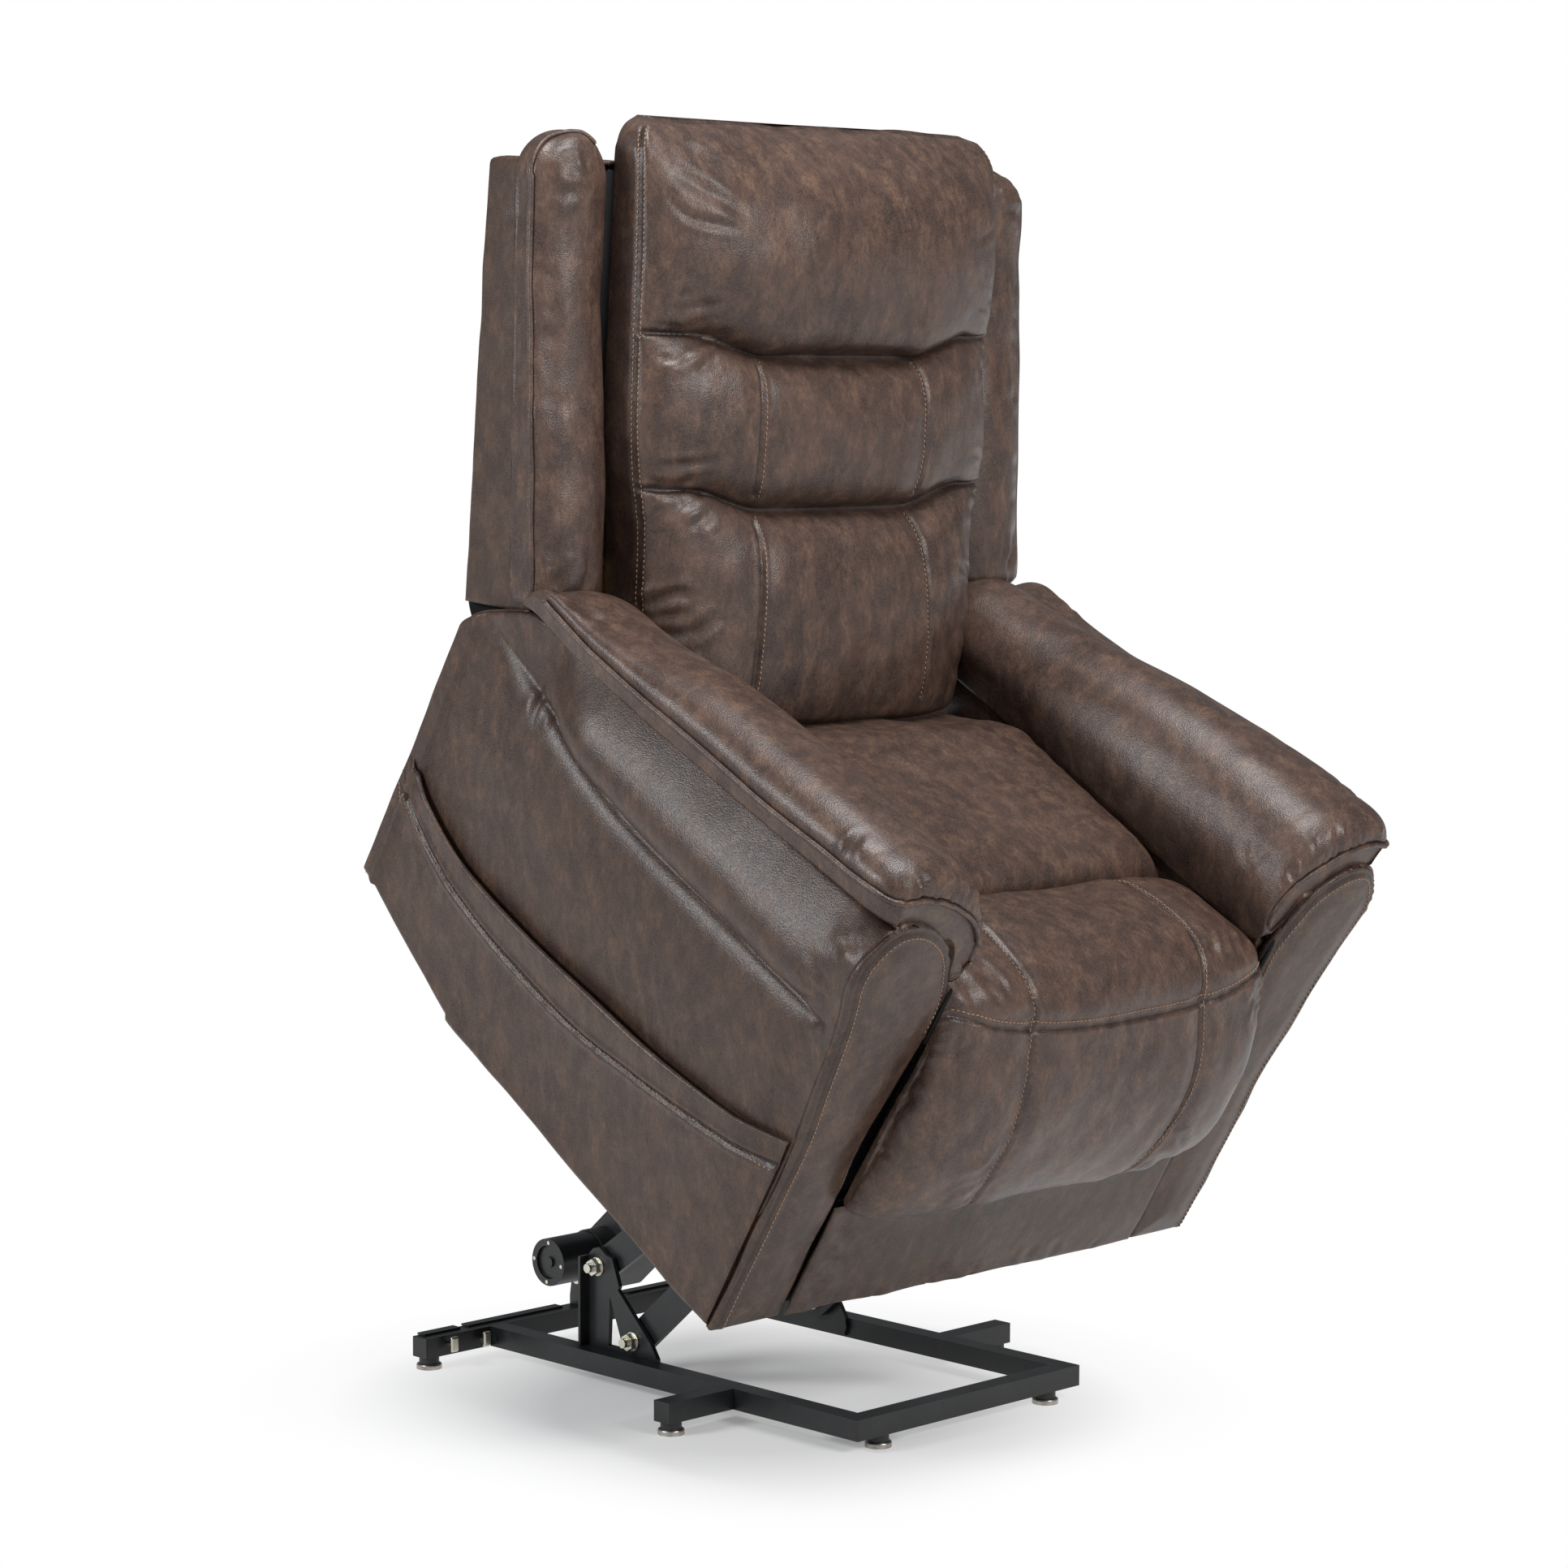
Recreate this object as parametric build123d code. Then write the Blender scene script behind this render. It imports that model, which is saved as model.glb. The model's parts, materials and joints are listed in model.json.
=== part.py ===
from build123d import *
import os
from math import atan2, cos, degrees, hypot, radians, sin

# Lift recliner chair, in millimetres, modelled in its lifted pose.
# World axes: +Z up, the chair faces -Y, +X is the right-hand side seen from the front.
# base_*   : floor frame, measured in the world from the front tube's front face.
# chair frame : origin at the side panels' bottom front corner, y rearwards, z up, tilted by chair_tilt.
# back frame  : origin in the chair frame, y through the back's thickness, z up along the back.

# ---------------------------------------------------------------- driving dimensions: floor frame
tube_w = 27.0          # square tube, across
tube_h = 26.0          # square tube, upright
tube_wall = 2.0
foot_disc_h = 7.0
foot_disc_r = 16.5
foot_stem_h = 9.0
foot_stem_r = 13.0
base_half = 199.0      # side rails' outer faces
base_depth = 698.0     # front face of the front tube to the rear face of the rear tube
rear_half = 307.0      # rear tube's half length
outrigger_half = 306.0
outrigger_y = 214.0    # front face of the side outriggers
cap_t = 3.0            # moulded end caps
cap_plug = 12.0
foot_inset_front = 49.0
foot_inset_side = 16.0
hook_bolts = ((-base_half - 71.0, 29.0), (-base_half - 16.0, 27.0))     # x and height on the rear tube

# lift bracket and pivots on the floor frame
bracket_t = 6.0
bracket_flange = 14.0
upper_pivot = (base_depth - 207.0, 146.0)
lower_pivot = (base_depth - 273.0, 60.0)
bolt_r = 6.0
bolt_clear = 0.05
washer_r = 12.0
washer_t = 2.0
nut_af = 19.0
nut_t = 9.0

# lift links
link_t = 8.0
link_w = 41.0
link_gap = 3.0         # spacer washer between bracket and link
plate_gap = 2.0        # washer between link and lift plate
upper_rise = 35.0
upper_length = 374.1
lower_rise = 41.0
lower_length = 363.2
lower_waist = (170.0, 250.0, 9.5)   # cut-back that lets the upper link pass: start, end, half width left

# ---------------------------------------------------------------- driving dimensions: chair body
chair_tilt = 31.0
chair_y = base_depth - 681.4     # the lift carries the chair from the rear
chair_z = 179.8
side_half = 421.0      # outer face of the side panels
arm_inner = 312.0      # inner face of the arm boxes
board_t = 12.0
board_inset = 12.0
panel_t = 6.0
panel_depth = 791.0
panel_rear_top = 467.0
post_t = 15.0
bolster_out = 34.0
arm_slope = 2.0        # pad and roll fall towards the rear
pad_rear = 655.0
pad_front = -20.0
pad_top = 646.0
pad_low = 576.0
pad_inner = 283.0
pad_outer = 452.0
pocket_t = 3.0
pocket_gap = 7.0

seat_half = 280.0
seat_top = 492.0
seat_bottom = 392.0
seat_front = 176.0
seat_rear = 600.0
legrest_hinge = (10.0, 440.0)
roll_r = 60.0
legrest_half = 281.0
legrest_flare = 22.0   # how much wider the leg rest is at its lower edge
legrest_low = 178.0
legrest_t = 50.0
legrest_board_t = 12.0
soft_gap = 0.6
skirt_h = 168.0
skirt_t = 14.0

# lift frame under the seat, in the chair frame
frame_tube = 25.0
frame_cross_z = 135.0
frame_cross_y = (106.0, 331.0, 696.0)
frame_plate_t = 6.0

# ---------------------------------------------------------------- driving dimensions: back
back_lean = 26.0
back_origin = (640.0, 430.0)
back_hinge = (690.0, 395.0)
shell_half = 387.0
shell_rear = 158.0
shell_t = 12.0
shell_low = 112.0
shell_high = 645.0
web_t = 2.0
wing_out = 424.0
wing_in = 310.0
wing_deep = 92.0
wing_low = 126.0
wing_rear_low = 33.0
wing_lean = 0.076
wing_high = 682.0
cushion_half = 303.0
cushion_rear = 29.0
lumbar_half = 277.0
lumbar_top = 243.0
mid_top = 429.0
head_top = 707.0

# ---------------------------------------------------------------- driving dimensions: lift actuator
actuator_x = -20.0
actuator_rear = (base_depth - 18.0, 80.0)
actuator_front = (344.0, 110.0)     # in the chair frame
gearbox_start = 40.0
gearbox_end = 150.0
casing_r = 19.0
casing_end = 400.0
rod_r = 10.5
rod_back = 300.0
eye_r = 16.0
eye_half = 12.0
ear_gap = 1.0
ear_t = 5.0
motor_along = 98.0
motor_below = 15.0
motor_r = 31.0
motor_end = -160.0
collar_len = 30.0

tube_z = foot_disc_h + foot_stem_h
tube_top = tube_z + tube_h
rail_inner = base_half - tube_w
web_out = rail_inner
web_in = web_out - bracket_t
link_out = web_in - link_gap
link_in = link_out - link_t
plate_out = link_in - plate_gap
plate_in = plate_out - frame_plate_t

chair = Location((0, chair_y, chair_z), (chair_tilt, 0, 0))
back = chair * Location((0, *back_origin), (-back_lean, 0, 0))


# ---------------------------------------------------------------- helpers
def block(x0, x1, y0, y1, z0, z1, radius=0.0):
    """A box between two corners, with its edges rounded by radius."""
    solid = Box(x1 - x0, y1 - y0, z1 - z0)
    if radius:
        solid = fillet(solid.edges(), radius)
    return Pos((x0 + x1) / 2, (y0 + y1) / 2, (z0 + z1) / 2) * solid


def plate(points, x0, x1):
    """A flat plate across X, from the (y, z) corners of its outline."""
    outline = Polyline(*[(x0, y, z) for y, z in points], close=True)
    return extrude(make_face(outline), amount=x1 - x0, dir=(1, 0, 0))


def panel(points, y0, y1):
    """A flat panel across Y, from the (x, z) corners of its outline."""
    outline = Polyline(*[(x, y0, z) for x, z in points], close=True)
    return extrude(make_face(outline), amount=y1 - y0, dir=(0, 1, 0))


def tube_along_x(x0, x1, y0, z0, wide=tube_w, tall=tube_h):
    """Hollow square tube along X; y0 and z0 are its low corner."""
    outer = block(x0, x1, y0, y0 + wide, z0, z0 + tall)
    y_faces = (y0 + tube_wall, y0 + wide - tube_wall)
    z_faces = (z0 + tube_wall, z0 + tall - tube_wall)
    inner = block(x0 - 1, x1 + 1, *y_faces, *z_faces)
    return outer - inner


def tube_along_y(y0, y1, x0, z0, wide=tube_w, tall=tube_h):
    """Hollow square tube along Y; x0 and z0 are its low corner."""
    outer = block(x0, x0 + wide, y0, y1, z0, z0 + tall)
    x_faces = (x0 + tube_wall, x0 + wide - tube_wall)
    z_faces = (z0 + tube_wall, z0 + tall - tube_wall)
    inner = block(*x_faces, y0 - 1, y1 + 1, *z_faces)
    return outer - inner


def cylinder_x(radius, x0, x1, y, z):
    """A cylinder along X."""
    return Pos((x0 + x1) / 2, y, z) * Rot(0, 90, 0) * Cylinder(radius, abs(x1 - x0))


def hexagon_x(across, x0, x1, y, z):
    """A hexagonal prism along X, such as a nut."""
    flat = Plane(origin=(x0, y, z), z_dir=(1, 0, 0)) * RegularPolygon(across / 2, 6, major_radius=False)
    return extrude(flat, amount=x1 - x0, dir=(1, 0, 0))


def both(left):
    """A left-hand piece with its mirror image on the right."""
    return {"left": left, "right": mirror(left, about=Plane.YZ)}


def pair(left):
    """A left-hand piece and its mirror image as one group."""
    return [left, mirror(left, about=Plane.YZ)]


nodes = {}


def keep(name, shapes, frame=Location()):
    """Store one node, made of one or more solids placed by a frame."""
    shapes = shapes if isinstance(shapes, (list, tuple)) else [shapes]
    nodes[name] = [frame * solid for shape in shapes for solid in shape.solids()]


def keep_both(name, left, frame=Location()):
    """Store a left-hand node and its mirrored right-hand node."""
    for side, shape in both(left).items():
        keep(f"{name}_{side}", shape, frame)


# ---------------------------------------------------------------- floor frame
def end_cap(sign, x, y0):
    """Moulded cap on a tube that ends at x, with its plug inside the tube."""
    fit = tube_wall + 0.2
    flange = block(min(x, x + sign * cap_t), max(x, x + sign * cap_t), y0, y0 + tube_w, tube_z, tube_top)
    plug_x = sorted((x, x - sign * cap_plug))
    plug = block(*plug_x, y0 + fit, y0 + tube_w - fit, tube_z + fit, tube_top - fit)
    return flange + plug


def floor_frame():
    rear_y = base_depth - tube_w
    front_end = base_half - cap_t
    keep("base_front_tube", tube_along_x(-front_end, front_end, 0, tube_z))
    rear = tube_along_x(cap_t - rear_half, rear_half - cap_t, rear_y, tube_z)
    for x0, x1 in ((-rear_half + 10, -rear_half + 70), (-rear_half + 84, -60)):
        for strip in pair(block(x0, x1, base_depth - 12, base_depth + 3, tube_top, tube_top + 2.5)):
            rear += strip
    keep("base_rear_tube", rear)
    keep("base_side_rails", pair(tube_along_y(tube_w, rear_y, -base_half, tube_z)))
    keep("outriggers", pair(tube_along_x(cap_t - outrigger_half, -base_half, outrigger_y, tube_z)))
    caps = [
        end_cap(-1, -front_end, 0),
        end_cap(-1, cap_t - rear_half, rear_y),
        end_cap(-1, cap_t - outrigger_half, outrigger_y),
    ]
    keep("tube_end_caps", [cap for left in caps for cap in pair(left)])
    centre = tube_w / 2
    feet = [
        (foot_inset_front - base_half, centre),
        (foot_inset_side - outrigger_half, outrigger_y + centre),
        (foot_inset_side - rear_half, rear_y + centre),
    ]
    stem = Cylinder(foot_stem_r, foot_stem_h, align=(Align.CENTER, Align.CENTER, Align.MIN))
    disc = Cylinder(foot_disc_r, foot_disc_h, align=(Align.CENTER, Align.CENTER, Align.MIN))
    disc = fillet(disc.edges().sort_by(Axis.Z)[-1:], 2.5)
    keep("foot_stems", [s for x, y in feet for s in pair(Pos(x, y, foot_disc_h) * stem)])
    keep("foot_discs", [s for x, y in feet for s in pair(Pos(x, y, 0) * disc)])
    hooks = []
    for x, z in hook_bolts:
        shank = Pos(x, rear_y - 6, z) * Rot(90, 0, 0) * Cylinder(4, 12)
        hooks.append(shank + block(x - 7, x + 5, rear_y - 16, rear_y - 10, z - 7, z + 13, 2.5))
    keep("base_hook_bolts", hooks)


def lift_bracket():
    """A-shaped bracket on the inner side of each rail, with a flange on its rear edge."""
    (ay, az), (by, bz) = upper_pivot, lower_pivot
    rear = ay + 22
    web = plate(
        [
            (rear, tube_z + 2), (rear, az + 4), (rear - 5, az + 14), (ay + 9, az + 22), (ay - 3, az + 25),
            (ay - 15, az + 17), (ay - 27, az + 14), (ay - 40, az - 20), (ay - 38, az - 25), (by - 33, bz + 2),
            (by - 45, tube_top + 2), (by - 47, tube_z + 14), (by - 41, tube_z + 2),
        ],
        -web_out, -web_in,
    )
    window = [(ay - 23, az - 36), (ay - 20, tube_top + 5), (by + 18, tube_top + 5)]
    slot = plate(window, -web_out - 1, 1 - web_in)
    holes = [cylinder_x(bolt_r, -web_out - 1, 1 - web_in, y, z) for y, z in (upper_pivot, lower_pivot)]
    flange = block(-web_out - bracket_flange, -web_out, rear - 4, rear, tube_top, az + 12)
    return web - slot - holes[0] - holes[1] + flange


def pivot_bolt(y, z, head_out, head_in):
    """Pivot bolt through bracket and link: nut outside, head on the inner side."""
    shank = cylinder_x(bolt_r - bolt_clear, -head_out - nut_t - washer_t - 8, -head_in, y, z)
    washer = cylinder_x(washer_r, -head_out - washer_t, -head_out, y, z)
    nut = hexagon_x(nut_af, -head_out - washer_t - nut_t, -head_out - washer_t, y, z)
    head = cylinder_x(10, -head_in, -head_in + 6, y, z)
    return shank + washer + nut + head


def spacer(y, z, x0, x1):
    """Ring washer between two plates."""
    return cylinder_x(washer_r, x0, x1, y, z) - cylinder_x(bolt_r + bolt_clear, x0 - 1, x1 + 1, y, z)


def bar(start, end, x0, x1, width):
    """Flat bar with round ends between two (y, z) points."""
    (y0, z0), (y1, z1) = start, end
    length = hypot(y1 - y0, z1 - z0)
    across = block(x0, x1, 0, length, -width / 2, width / 2)
    ends = cylinder_x(width / 2, x0, x1, 0, 0) + cylinder_x(width / 2, x0, x1, length, 0)
    return Location((0, y0, z0), (degrees(atan2(z1 - z0, y1 - y0)), 0, 0)) * (across + ends)


def link_tip(pivot, length, rise):
    """Front end of a lift link."""
    return (pivot[0] - length * cos(radians(rise)), pivot[1] + length * sin(radians(rise)))


upper_tip = link_tip(upper_pivot, upper_length, upper_rise)
lower_tip = link_tip(lower_pivot, lower_length, lower_rise)


def to_chair(y, z):
    """World (y, z) in the chair frame."""
    c, s = cos(radians(chair_tilt)), sin(radians(chair_tilt))
    return ((y - chair_y) * c + (z - chair_z) * s, (z - chair_z) * c - (y - chair_y) * s)


def to_world(y, z):
    """Chair-frame (y, z) in the world."""
    c, s = cos(radians(chair_tilt)), sin(radians(chair_tilt))
    return (chair_y + y * c - z * s, chair_z + y * s + z * c)


def link_waist():
    """What is cut from the lower link's edge, so that the upper link clears it with the chair lowered."""
    start, end, half = lower_waist
    edge = link_w / 2 + 1
    far = lower_length + link_w
    cut = plate([(start, -edge), (end, -half), (far, -half), (far, -edge)], -link_out - 1, 1 - link_in)
    y, z = lower_pivot
    return Location((0, y, z), (180 - lower_rise, 0, 0)) * cut


def lift_linkage():
    keep("lift_brackets", pair(lift_bracket()))
    pivots = [upper_pivot, lower_pivot]
    bolts = [pivot_bolt(*p, web_out, link_in) for p in pivots]
    keep("base_pivot_bolts", [b for bolt in bolts for b in pair(bolt)])
    spacers = [spacer(*p, -web_in, -link_out) for p in pivots]
    keep("pivot_spacers", [s for ring in spacers for s in pair(ring)])
    upper = bar(upper_pivot, upper_tip, -link_out, -link_in, link_w)
    for y, z in (upper_pivot, upper_tip):
        upper -= cylinder_x(bolt_r, -link_out - 1, 1 - link_in, y, z)
    keep("upper_lift_links", pair(upper))
    lower = bar(lower_pivot, lower_tip, -link_out, -link_in, link_w) - link_waist()
    lower -= cylinder_x(bolt_r, -link_out - 1, 1 - link_in, *lower_pivot)
    lower += cylinder_x(10, -link_out - 5, -link_out, *lower_tip)
    keep("lower_lift_links", pair(lower))


# ---------------------------------------------------------------- lift frame, on the chair
def lift_frame():
    cy, cz = to_chair(*upper_tip)
    dy, dz = to_chair(*lower_tip)
    rail_z = frame_cross_z - frame_tube
    rail_y = (frame_cross_y[0], frame_cross_y[-1] + frame_tube)
    rail_x = -plate_in
    rail = tube_along_y(*rail_y, rail_x, rail_z, frame_tube, frame_tube)
    keep("lift_frame_rails", pair(rail), chair)
    across = [
        tube_along_x(-arm_inner, arm_inner, y, frame_cross_z, frame_tube, frame_tube)
        for y in frame_cross_y
    ]
    keep("lift_frame_crossbars", across, chair)
    ear = 17.0
    side = plate(
        [
            (dy - ear, dz), (dy - ear / 2, dz - ear * 0.85), (dy + ear / 2, dz - ear * 0.85),
            (cy + ear, cz - ear / 2), (cy + ear * 1.4, cz + ear), (cy + 45, frame_cross_z - 2),
            (dy - 60, frame_cross_z - 2), (dy - ear, dz + 30),
        ],
        -plate_out, -plate_in,
    )
    side -= cylinder_x(bolt_r, -plate_out - 1, 1 - plate_in, cy, cz)
    keep("lift_plates", pair(side), chair)
    shank = cylinder_x(bolt_r - bolt_clear, -link_out, 8 - plate_in, cy, cz)
    head = hexagon_x(17, -link_out - 6, -link_out, cy, cz)
    nut = hexagon_x(nut_af, -plate_in, 8 - plate_in, cy, cz)
    washer = cylinder_x(washer_r, -link_in, -plate_out, cy, cz)
    open_nut = hexagon_x(nut_af, -plate_in, 8 - plate_in, dy, dz)
    bolts = [shank + head + nut + washer, open_nut]
    keep("lift_plate_bolts", [b for bolt in bolts for b in pair(bolt)], chair)


def control_box():
    """Power box on the middle crossbar, with an empty mains inlet in its rear end."""
    y, z = frame_cross_y[1], frame_cross_z + frame_tube
    box = block(40, 130, y - 30, y + 110, z, z + 42, 5)
    inlet = block(70, 98, y + 95, y + 111, z + 11, z + 31)
    keep("control_box", box - inlet, chair)


# ---------------------------------------------------------------- lift actuator
def actuator_frame():
    """Frame at the actuator's rear pin, -Y along its axis; and the pin-to-pin length."""
    fy, fz = to_world(*actuator_front)
    ry, rz = actuator_rear
    rise = degrees(atan2(fz - rz, ry - fy))
    return Location((actuator_x, ry, rz), (-rise, 0, 0)), hypot(ry - fy, fz - rz)


def lift_actuator():
    frame, length = actuator_frame()
    lug_half = 10.0
    lug = block(-lug_half, lug_half, -gearbox_start, 0, -14, 14) + cylinder_x(14, -lug_half, lug_half, 0, 0)
    lug -= cylinder_x(5, -lug_half - 1, lug_half + 1, 0, 0)
    gearbox_left = -45.0
    housing = block(gearbox_left, 42, -gearbox_end, -gearbox_start, -46, 26, 8)
    along = Pos(0, -(gearbox_end + casing_end) / 2, 0) * Rot(90, 0, 0)
    bore = along * Cylinder(rod_r + 0.05, casing_end - gearbox_end)
    casing = along * Cylinder(casing_r, casing_end - gearbox_end)
    keep("actuator_casing", casing - bore, frame)
    axis = (-motor_along, -motor_below)
    can_end = motor_end - actuator_x
    collar = cylinder_x(motor_r + 2, gearbox_left - collar_len, gearbox_left, *axis)
    can = cylinder_x(motor_r, can_end + 4, gearbox_left - collar_len, *axis)
    keep("actuator_gearbox", housing + lug + collar, frame)
    keep("motor_can", can, frame)
    cap = cylinder_x(motor_r, can_end - 4, can_end + 4, *axis)
    cap -= cylinder_x(motor_r - 9, can_end - 5, can_end, *axis)
    cap += cylinder_x(7, can_end - 3, can_end, *axis)
    keep("motor_end_cap", cap, frame)
    screws = []
    for turn in (45, 135, 225, 315):
        y = axis[0] + (motor_r - 5) * cos(radians(turn))
        z = axis[1] + (motor_r - 5) * sin(radians(turn))
        screws.append(cylinder_x(2.5, can_end - 5, can_end - 4, y, z))
    keep("motor_screws", screws, frame)
    rod_len = length - eye_r / 2 - rod_back
    rod = Pos(0, -rod_back - rod_len / 2, 0) * Rot(90, 0, 0) * Cylinder(rod_r, rod_len)
    eye = cylinder_x(eye_r, -eye_half, eye_half, -length, 0)
    keep("actuator_rod", rod + eye, frame)


def actuator_mounts():
    """Ears on the rear tube for the rear pin, and ears on the lift frame for the rod."""
    ry, rz = actuator_rear
    lug = 10.0 + ear_gap
    back_y = base_depth
    outline = [
        (back_y, tube_top), (back_y, tube_top + 12), (ry + 12, rz + 10), (ry - 2, rz + 15), (ry - 14, rz + 8),
        (ry - 15, rz - 6), (back_y - tube_w, tube_top),
    ]
    ears = [plate(outline, actuator_x + s * lug, actuator_x + s * (lug + ear_t)) for s in (-1, 1)]
    hole = cylinder_x(5, actuator_x - 40, actuator_x + 40, ry, rz)
    keep("actuator_base_ears", [ear - hole for ear in ears])
    pin_half = lug + ear_t + 1
    pin = cylinder_x(4.95, actuator_x - pin_half, actuator_x + pin_half, ry, rz)
    pin += cylinder_x(8, actuator_x - pin_half - 4, actuator_x - pin_half, ry, rz)
    pin += cylinder_x(8, actuator_x + pin_half, actuator_x + pin_half + 4, ry, rz)
    keep("actuator_pin", pin)
    fy, fz = actuator_front
    half = eye_half + ear_gap
    ear = [
        (fy - 16, frame_cross_z), (fy - 16, fz - 8), (fy - 8, fz - 16),
        (fy + 8, fz - 16), (fy + 16, fz - 8), (fy + 16, frame_cross_z),
    ]
    front = [plate(ear, actuator_x + s * half, actuator_x + s * (half + ear_t)) for s in (-1, 1)]
    keep("rod_ears", front, chair)
    face = half + ear_t
    spans = [(actuator_x - face - 7, actuator_x - face), (actuator_x + face, actuator_x + face + 7)]
    heads = [hexagon_x(17, *span, fy, fz) for span in spans]
    keep("rod_ear_bolts", heads, chair)


# ---------------------------------------------------------------- chair body
def pad_under(y):
    """Height of the arm pad's underside, where the arm box carries it."""
    slope = radians(arm_slope)
    return pad_low / cos(slope) - (y - pad_front) * sin(slope) / cos(slope)


def side_outline(inset=0.0):
    """Outline of an arm's side behind its front post, as (y, z) corners in the chair frame."""
    return [
        (post_t, inset), (545, 12 + inset), (556, 22 + inset), (panel_depth - inset, 90 + inset),
        (panel_depth - inset, panel_rear_top - 19 - inset), (panel_depth - 6 - inset, panel_rear_top - inset),
        (690 - inset / 2, 538 - inset), (pad_rear - inset, pad_under(pad_rear - inset)),
        (post_t, pad_under(post_t)),
    ]


def arm_box():
    """Plywood box inside each arm: outer, inner, front, rear and top boards."""
    outer_x = side_half - panel_t
    outline = side_outline(board_inset)
    outer = plate(outline, -outer_x, board_t - outer_x)
    inner = plate(outline, -arm_inner - board_t, -arm_inner)
    between = (board_t - outer_x, -arm_inner - board_t)
    behind_front = post_t + board_t
    front = block(*between, post_t, behind_front, board_inset, pad_under(behind_front))
    rear_face = panel_depth - board_inset
    rear = block(*between, rear_face - board_t, rear_face, 110, 430)
    corners = ((behind_front, board_t), (600, board_t), (600, 0), (behind_front, 0))
    top = plate([(y, pad_under(y) - drop) for y, drop in corners], *between)
    return [outer, inner, front, rear, top]


def side_cover():
    """Upholstered outer side panel."""
    return plate(side_outline(), -side_half, panel_t - side_half)


def bolster():
    """Padded roll along the top of each side, under the arm pad."""
    x0 = -side_half
    low, high = 428.0, pad_low - soft_gap
    middle = (low + high) / 2 + 8
    start = post_t - pad_front + 3
    arc = ThreePointArc((x0 - 14, start, high), (x0 - bolster_out, start, middle), (x0, start, low))
    close = Polyline((x0, start, low), (x0, start, high), (x0 - 14, start, high))
    roll = extrude(make_face([arc, close]), amount=pad_rear - start - 12, dir=(0, 1, 0))
    return Location((0, pad_front, 0), (-arm_slope, 0, 0)) * roll


def front_post():
    """Padded front of each arm, flaring outwards under the pad."""
    outline = [
        (-side_half, 0), (-side_half, 270), (-441, 446), (-456, 505), (-446, 550), (-412, 570), (-366, 565),
        (-324, 534), (-296, 472), (-290, 401), (-305, 310), (-311, 140), (-313, 0),
    ]
    pin_hole = cylinder_x(bolt_r, -arm_inner - 1, 1 - legrest_half, *legrest_hinge)
    return panel(outline, 0, post_t) - pin_hole


def arm_pad():
    """Pad over the top and the inner side of each arm, falling towards the rear."""
    low_out, low_in = pad_low, 490.0
    section = [
        (-pad_outer, low_out), (-pad_outer + 2, low_out + 24), (-pad_outer + 24, pad_top - 16),
        (-400, pad_top - 3), (-360, pad_top), (-320, pad_top - 10), (-pad_inner - 12, pad_top - 40),
        (-pad_inner, pad_top - 84),
        (-pad_inner, low_in), (-arm_inner + 1, low_in), (-arm_inner + 1, low_out),
    ]
    solid = panel(section, 0, pad_rear)
    pad = Location((0, pad_front, 0), (-arm_slope, 0, 0)) * solid
    behind_post = block(-arm_inner - 20, 1 - pad_inner, pad_front, post_t, 400, pad_low)
    above_rear = [(430, 640), (540, 604), (600, 586), (690, 560), (690, 700), (430, 700)]
    rear_drop = plate(above_rear, -pad_outer - 1, 1 - pad_inner)
    return pad - behind_post - rear_drop


def pocket():
    """Flat pocket on the left side panel: front sheet and the strips that join it to the panel."""
    mouth = [
        (782, 266), (706, 236), (612, 218), (484, 216), (363, 222),
        (245, 230), (136, 245), (67, 258), (18, 274),
    ]
    foot = [(18, 6), (545, 16), (556, 27), (782, 91)]
    sheet_x = -side_half - pocket_gap
    sheet = plate(foot + mouth, sheet_x - pocket_t, sheet_x)
    inner = plate([(42, 30), (540, 42), (758, 108), (758, 400), (42, 400)], sheet_x - 1, 1 - side_half)
    body = plate(foot + mouth, sheet_x, -side_half)
    return sheet + (body - inner)


def seat():
    slope = [
        (seat_front, seat_bottom), (seat_front, seat_top - 6), (seat_front + 20, seat_top), (468, seat_top),
        (486, seat_top - 22), (seat_rear, 414), (seat_rear, seat_bottom),
    ]
    keep("seat_cushion", plate(slope, -seat_half, seat_half), chair)
    hy, hz = legrest_hinge
    reach = roll_r + soft_gap
    nose = plate(
        [
            (hy, seat_bottom), (hy, seat_top + 8), (hy + 60, seat_top + 12), (seat_front - 16, seat_top + 8),
            (seat_front - soft_gap, seat_top - 4), (seat_front - soft_gap, seat_bottom),
        ],
        -seat_half, seat_half,
    )
    keep("chaise_pad", nose - cylinder_x(reach, -seat_half - 1, seat_half + 1, hy, hz), chair)


def seat_support():
    """Seat rails on the arm boxes, with zigzag springs between them."""
    wire = 2.0
    rail_top = seat_bottom - 2 * wire - soft_gap
    front_y, rear_y = 84.0, 590.0
    front = block(-arm_inner, arm_inner, front_y, front_y + 22, rail_top - 70, rail_top)
    rear = block(-arm_inner, arm_inner, rear_y, rear_y + 22, rail_top - 70, rail_top)
    keep("seat_rails", [front, rear], chair)
    swing = 24.0
    count = 12
    pitch = (rear_y - front_y) / count
    springs = []
    for x in (-220, -110, 0, 110, 220):
        corners = [(x, front_y + 4, rail_top + wire)]
        for i in range(1, count):
            corners.append((x + (swing if i % 2 else -swing), front_y + pitch * i, rail_top + wire))
        corners.append((x, rear_y + 18, rail_top + wire))
        path = FilletPolyline(*corners, radius=8)
        ring = Plane(origin=path @ 0, z_dir=path % 0) * Circle(wire)
        springs.append(sweep(ring, path=path))
    keep("seat_springs", springs, chair)


def skirt():
    board = block(-arm_inner + 2, arm_inner - 2, 0, skirt_t, 2, skirt_h)
    keep("front_skirt", board, chair)


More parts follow.
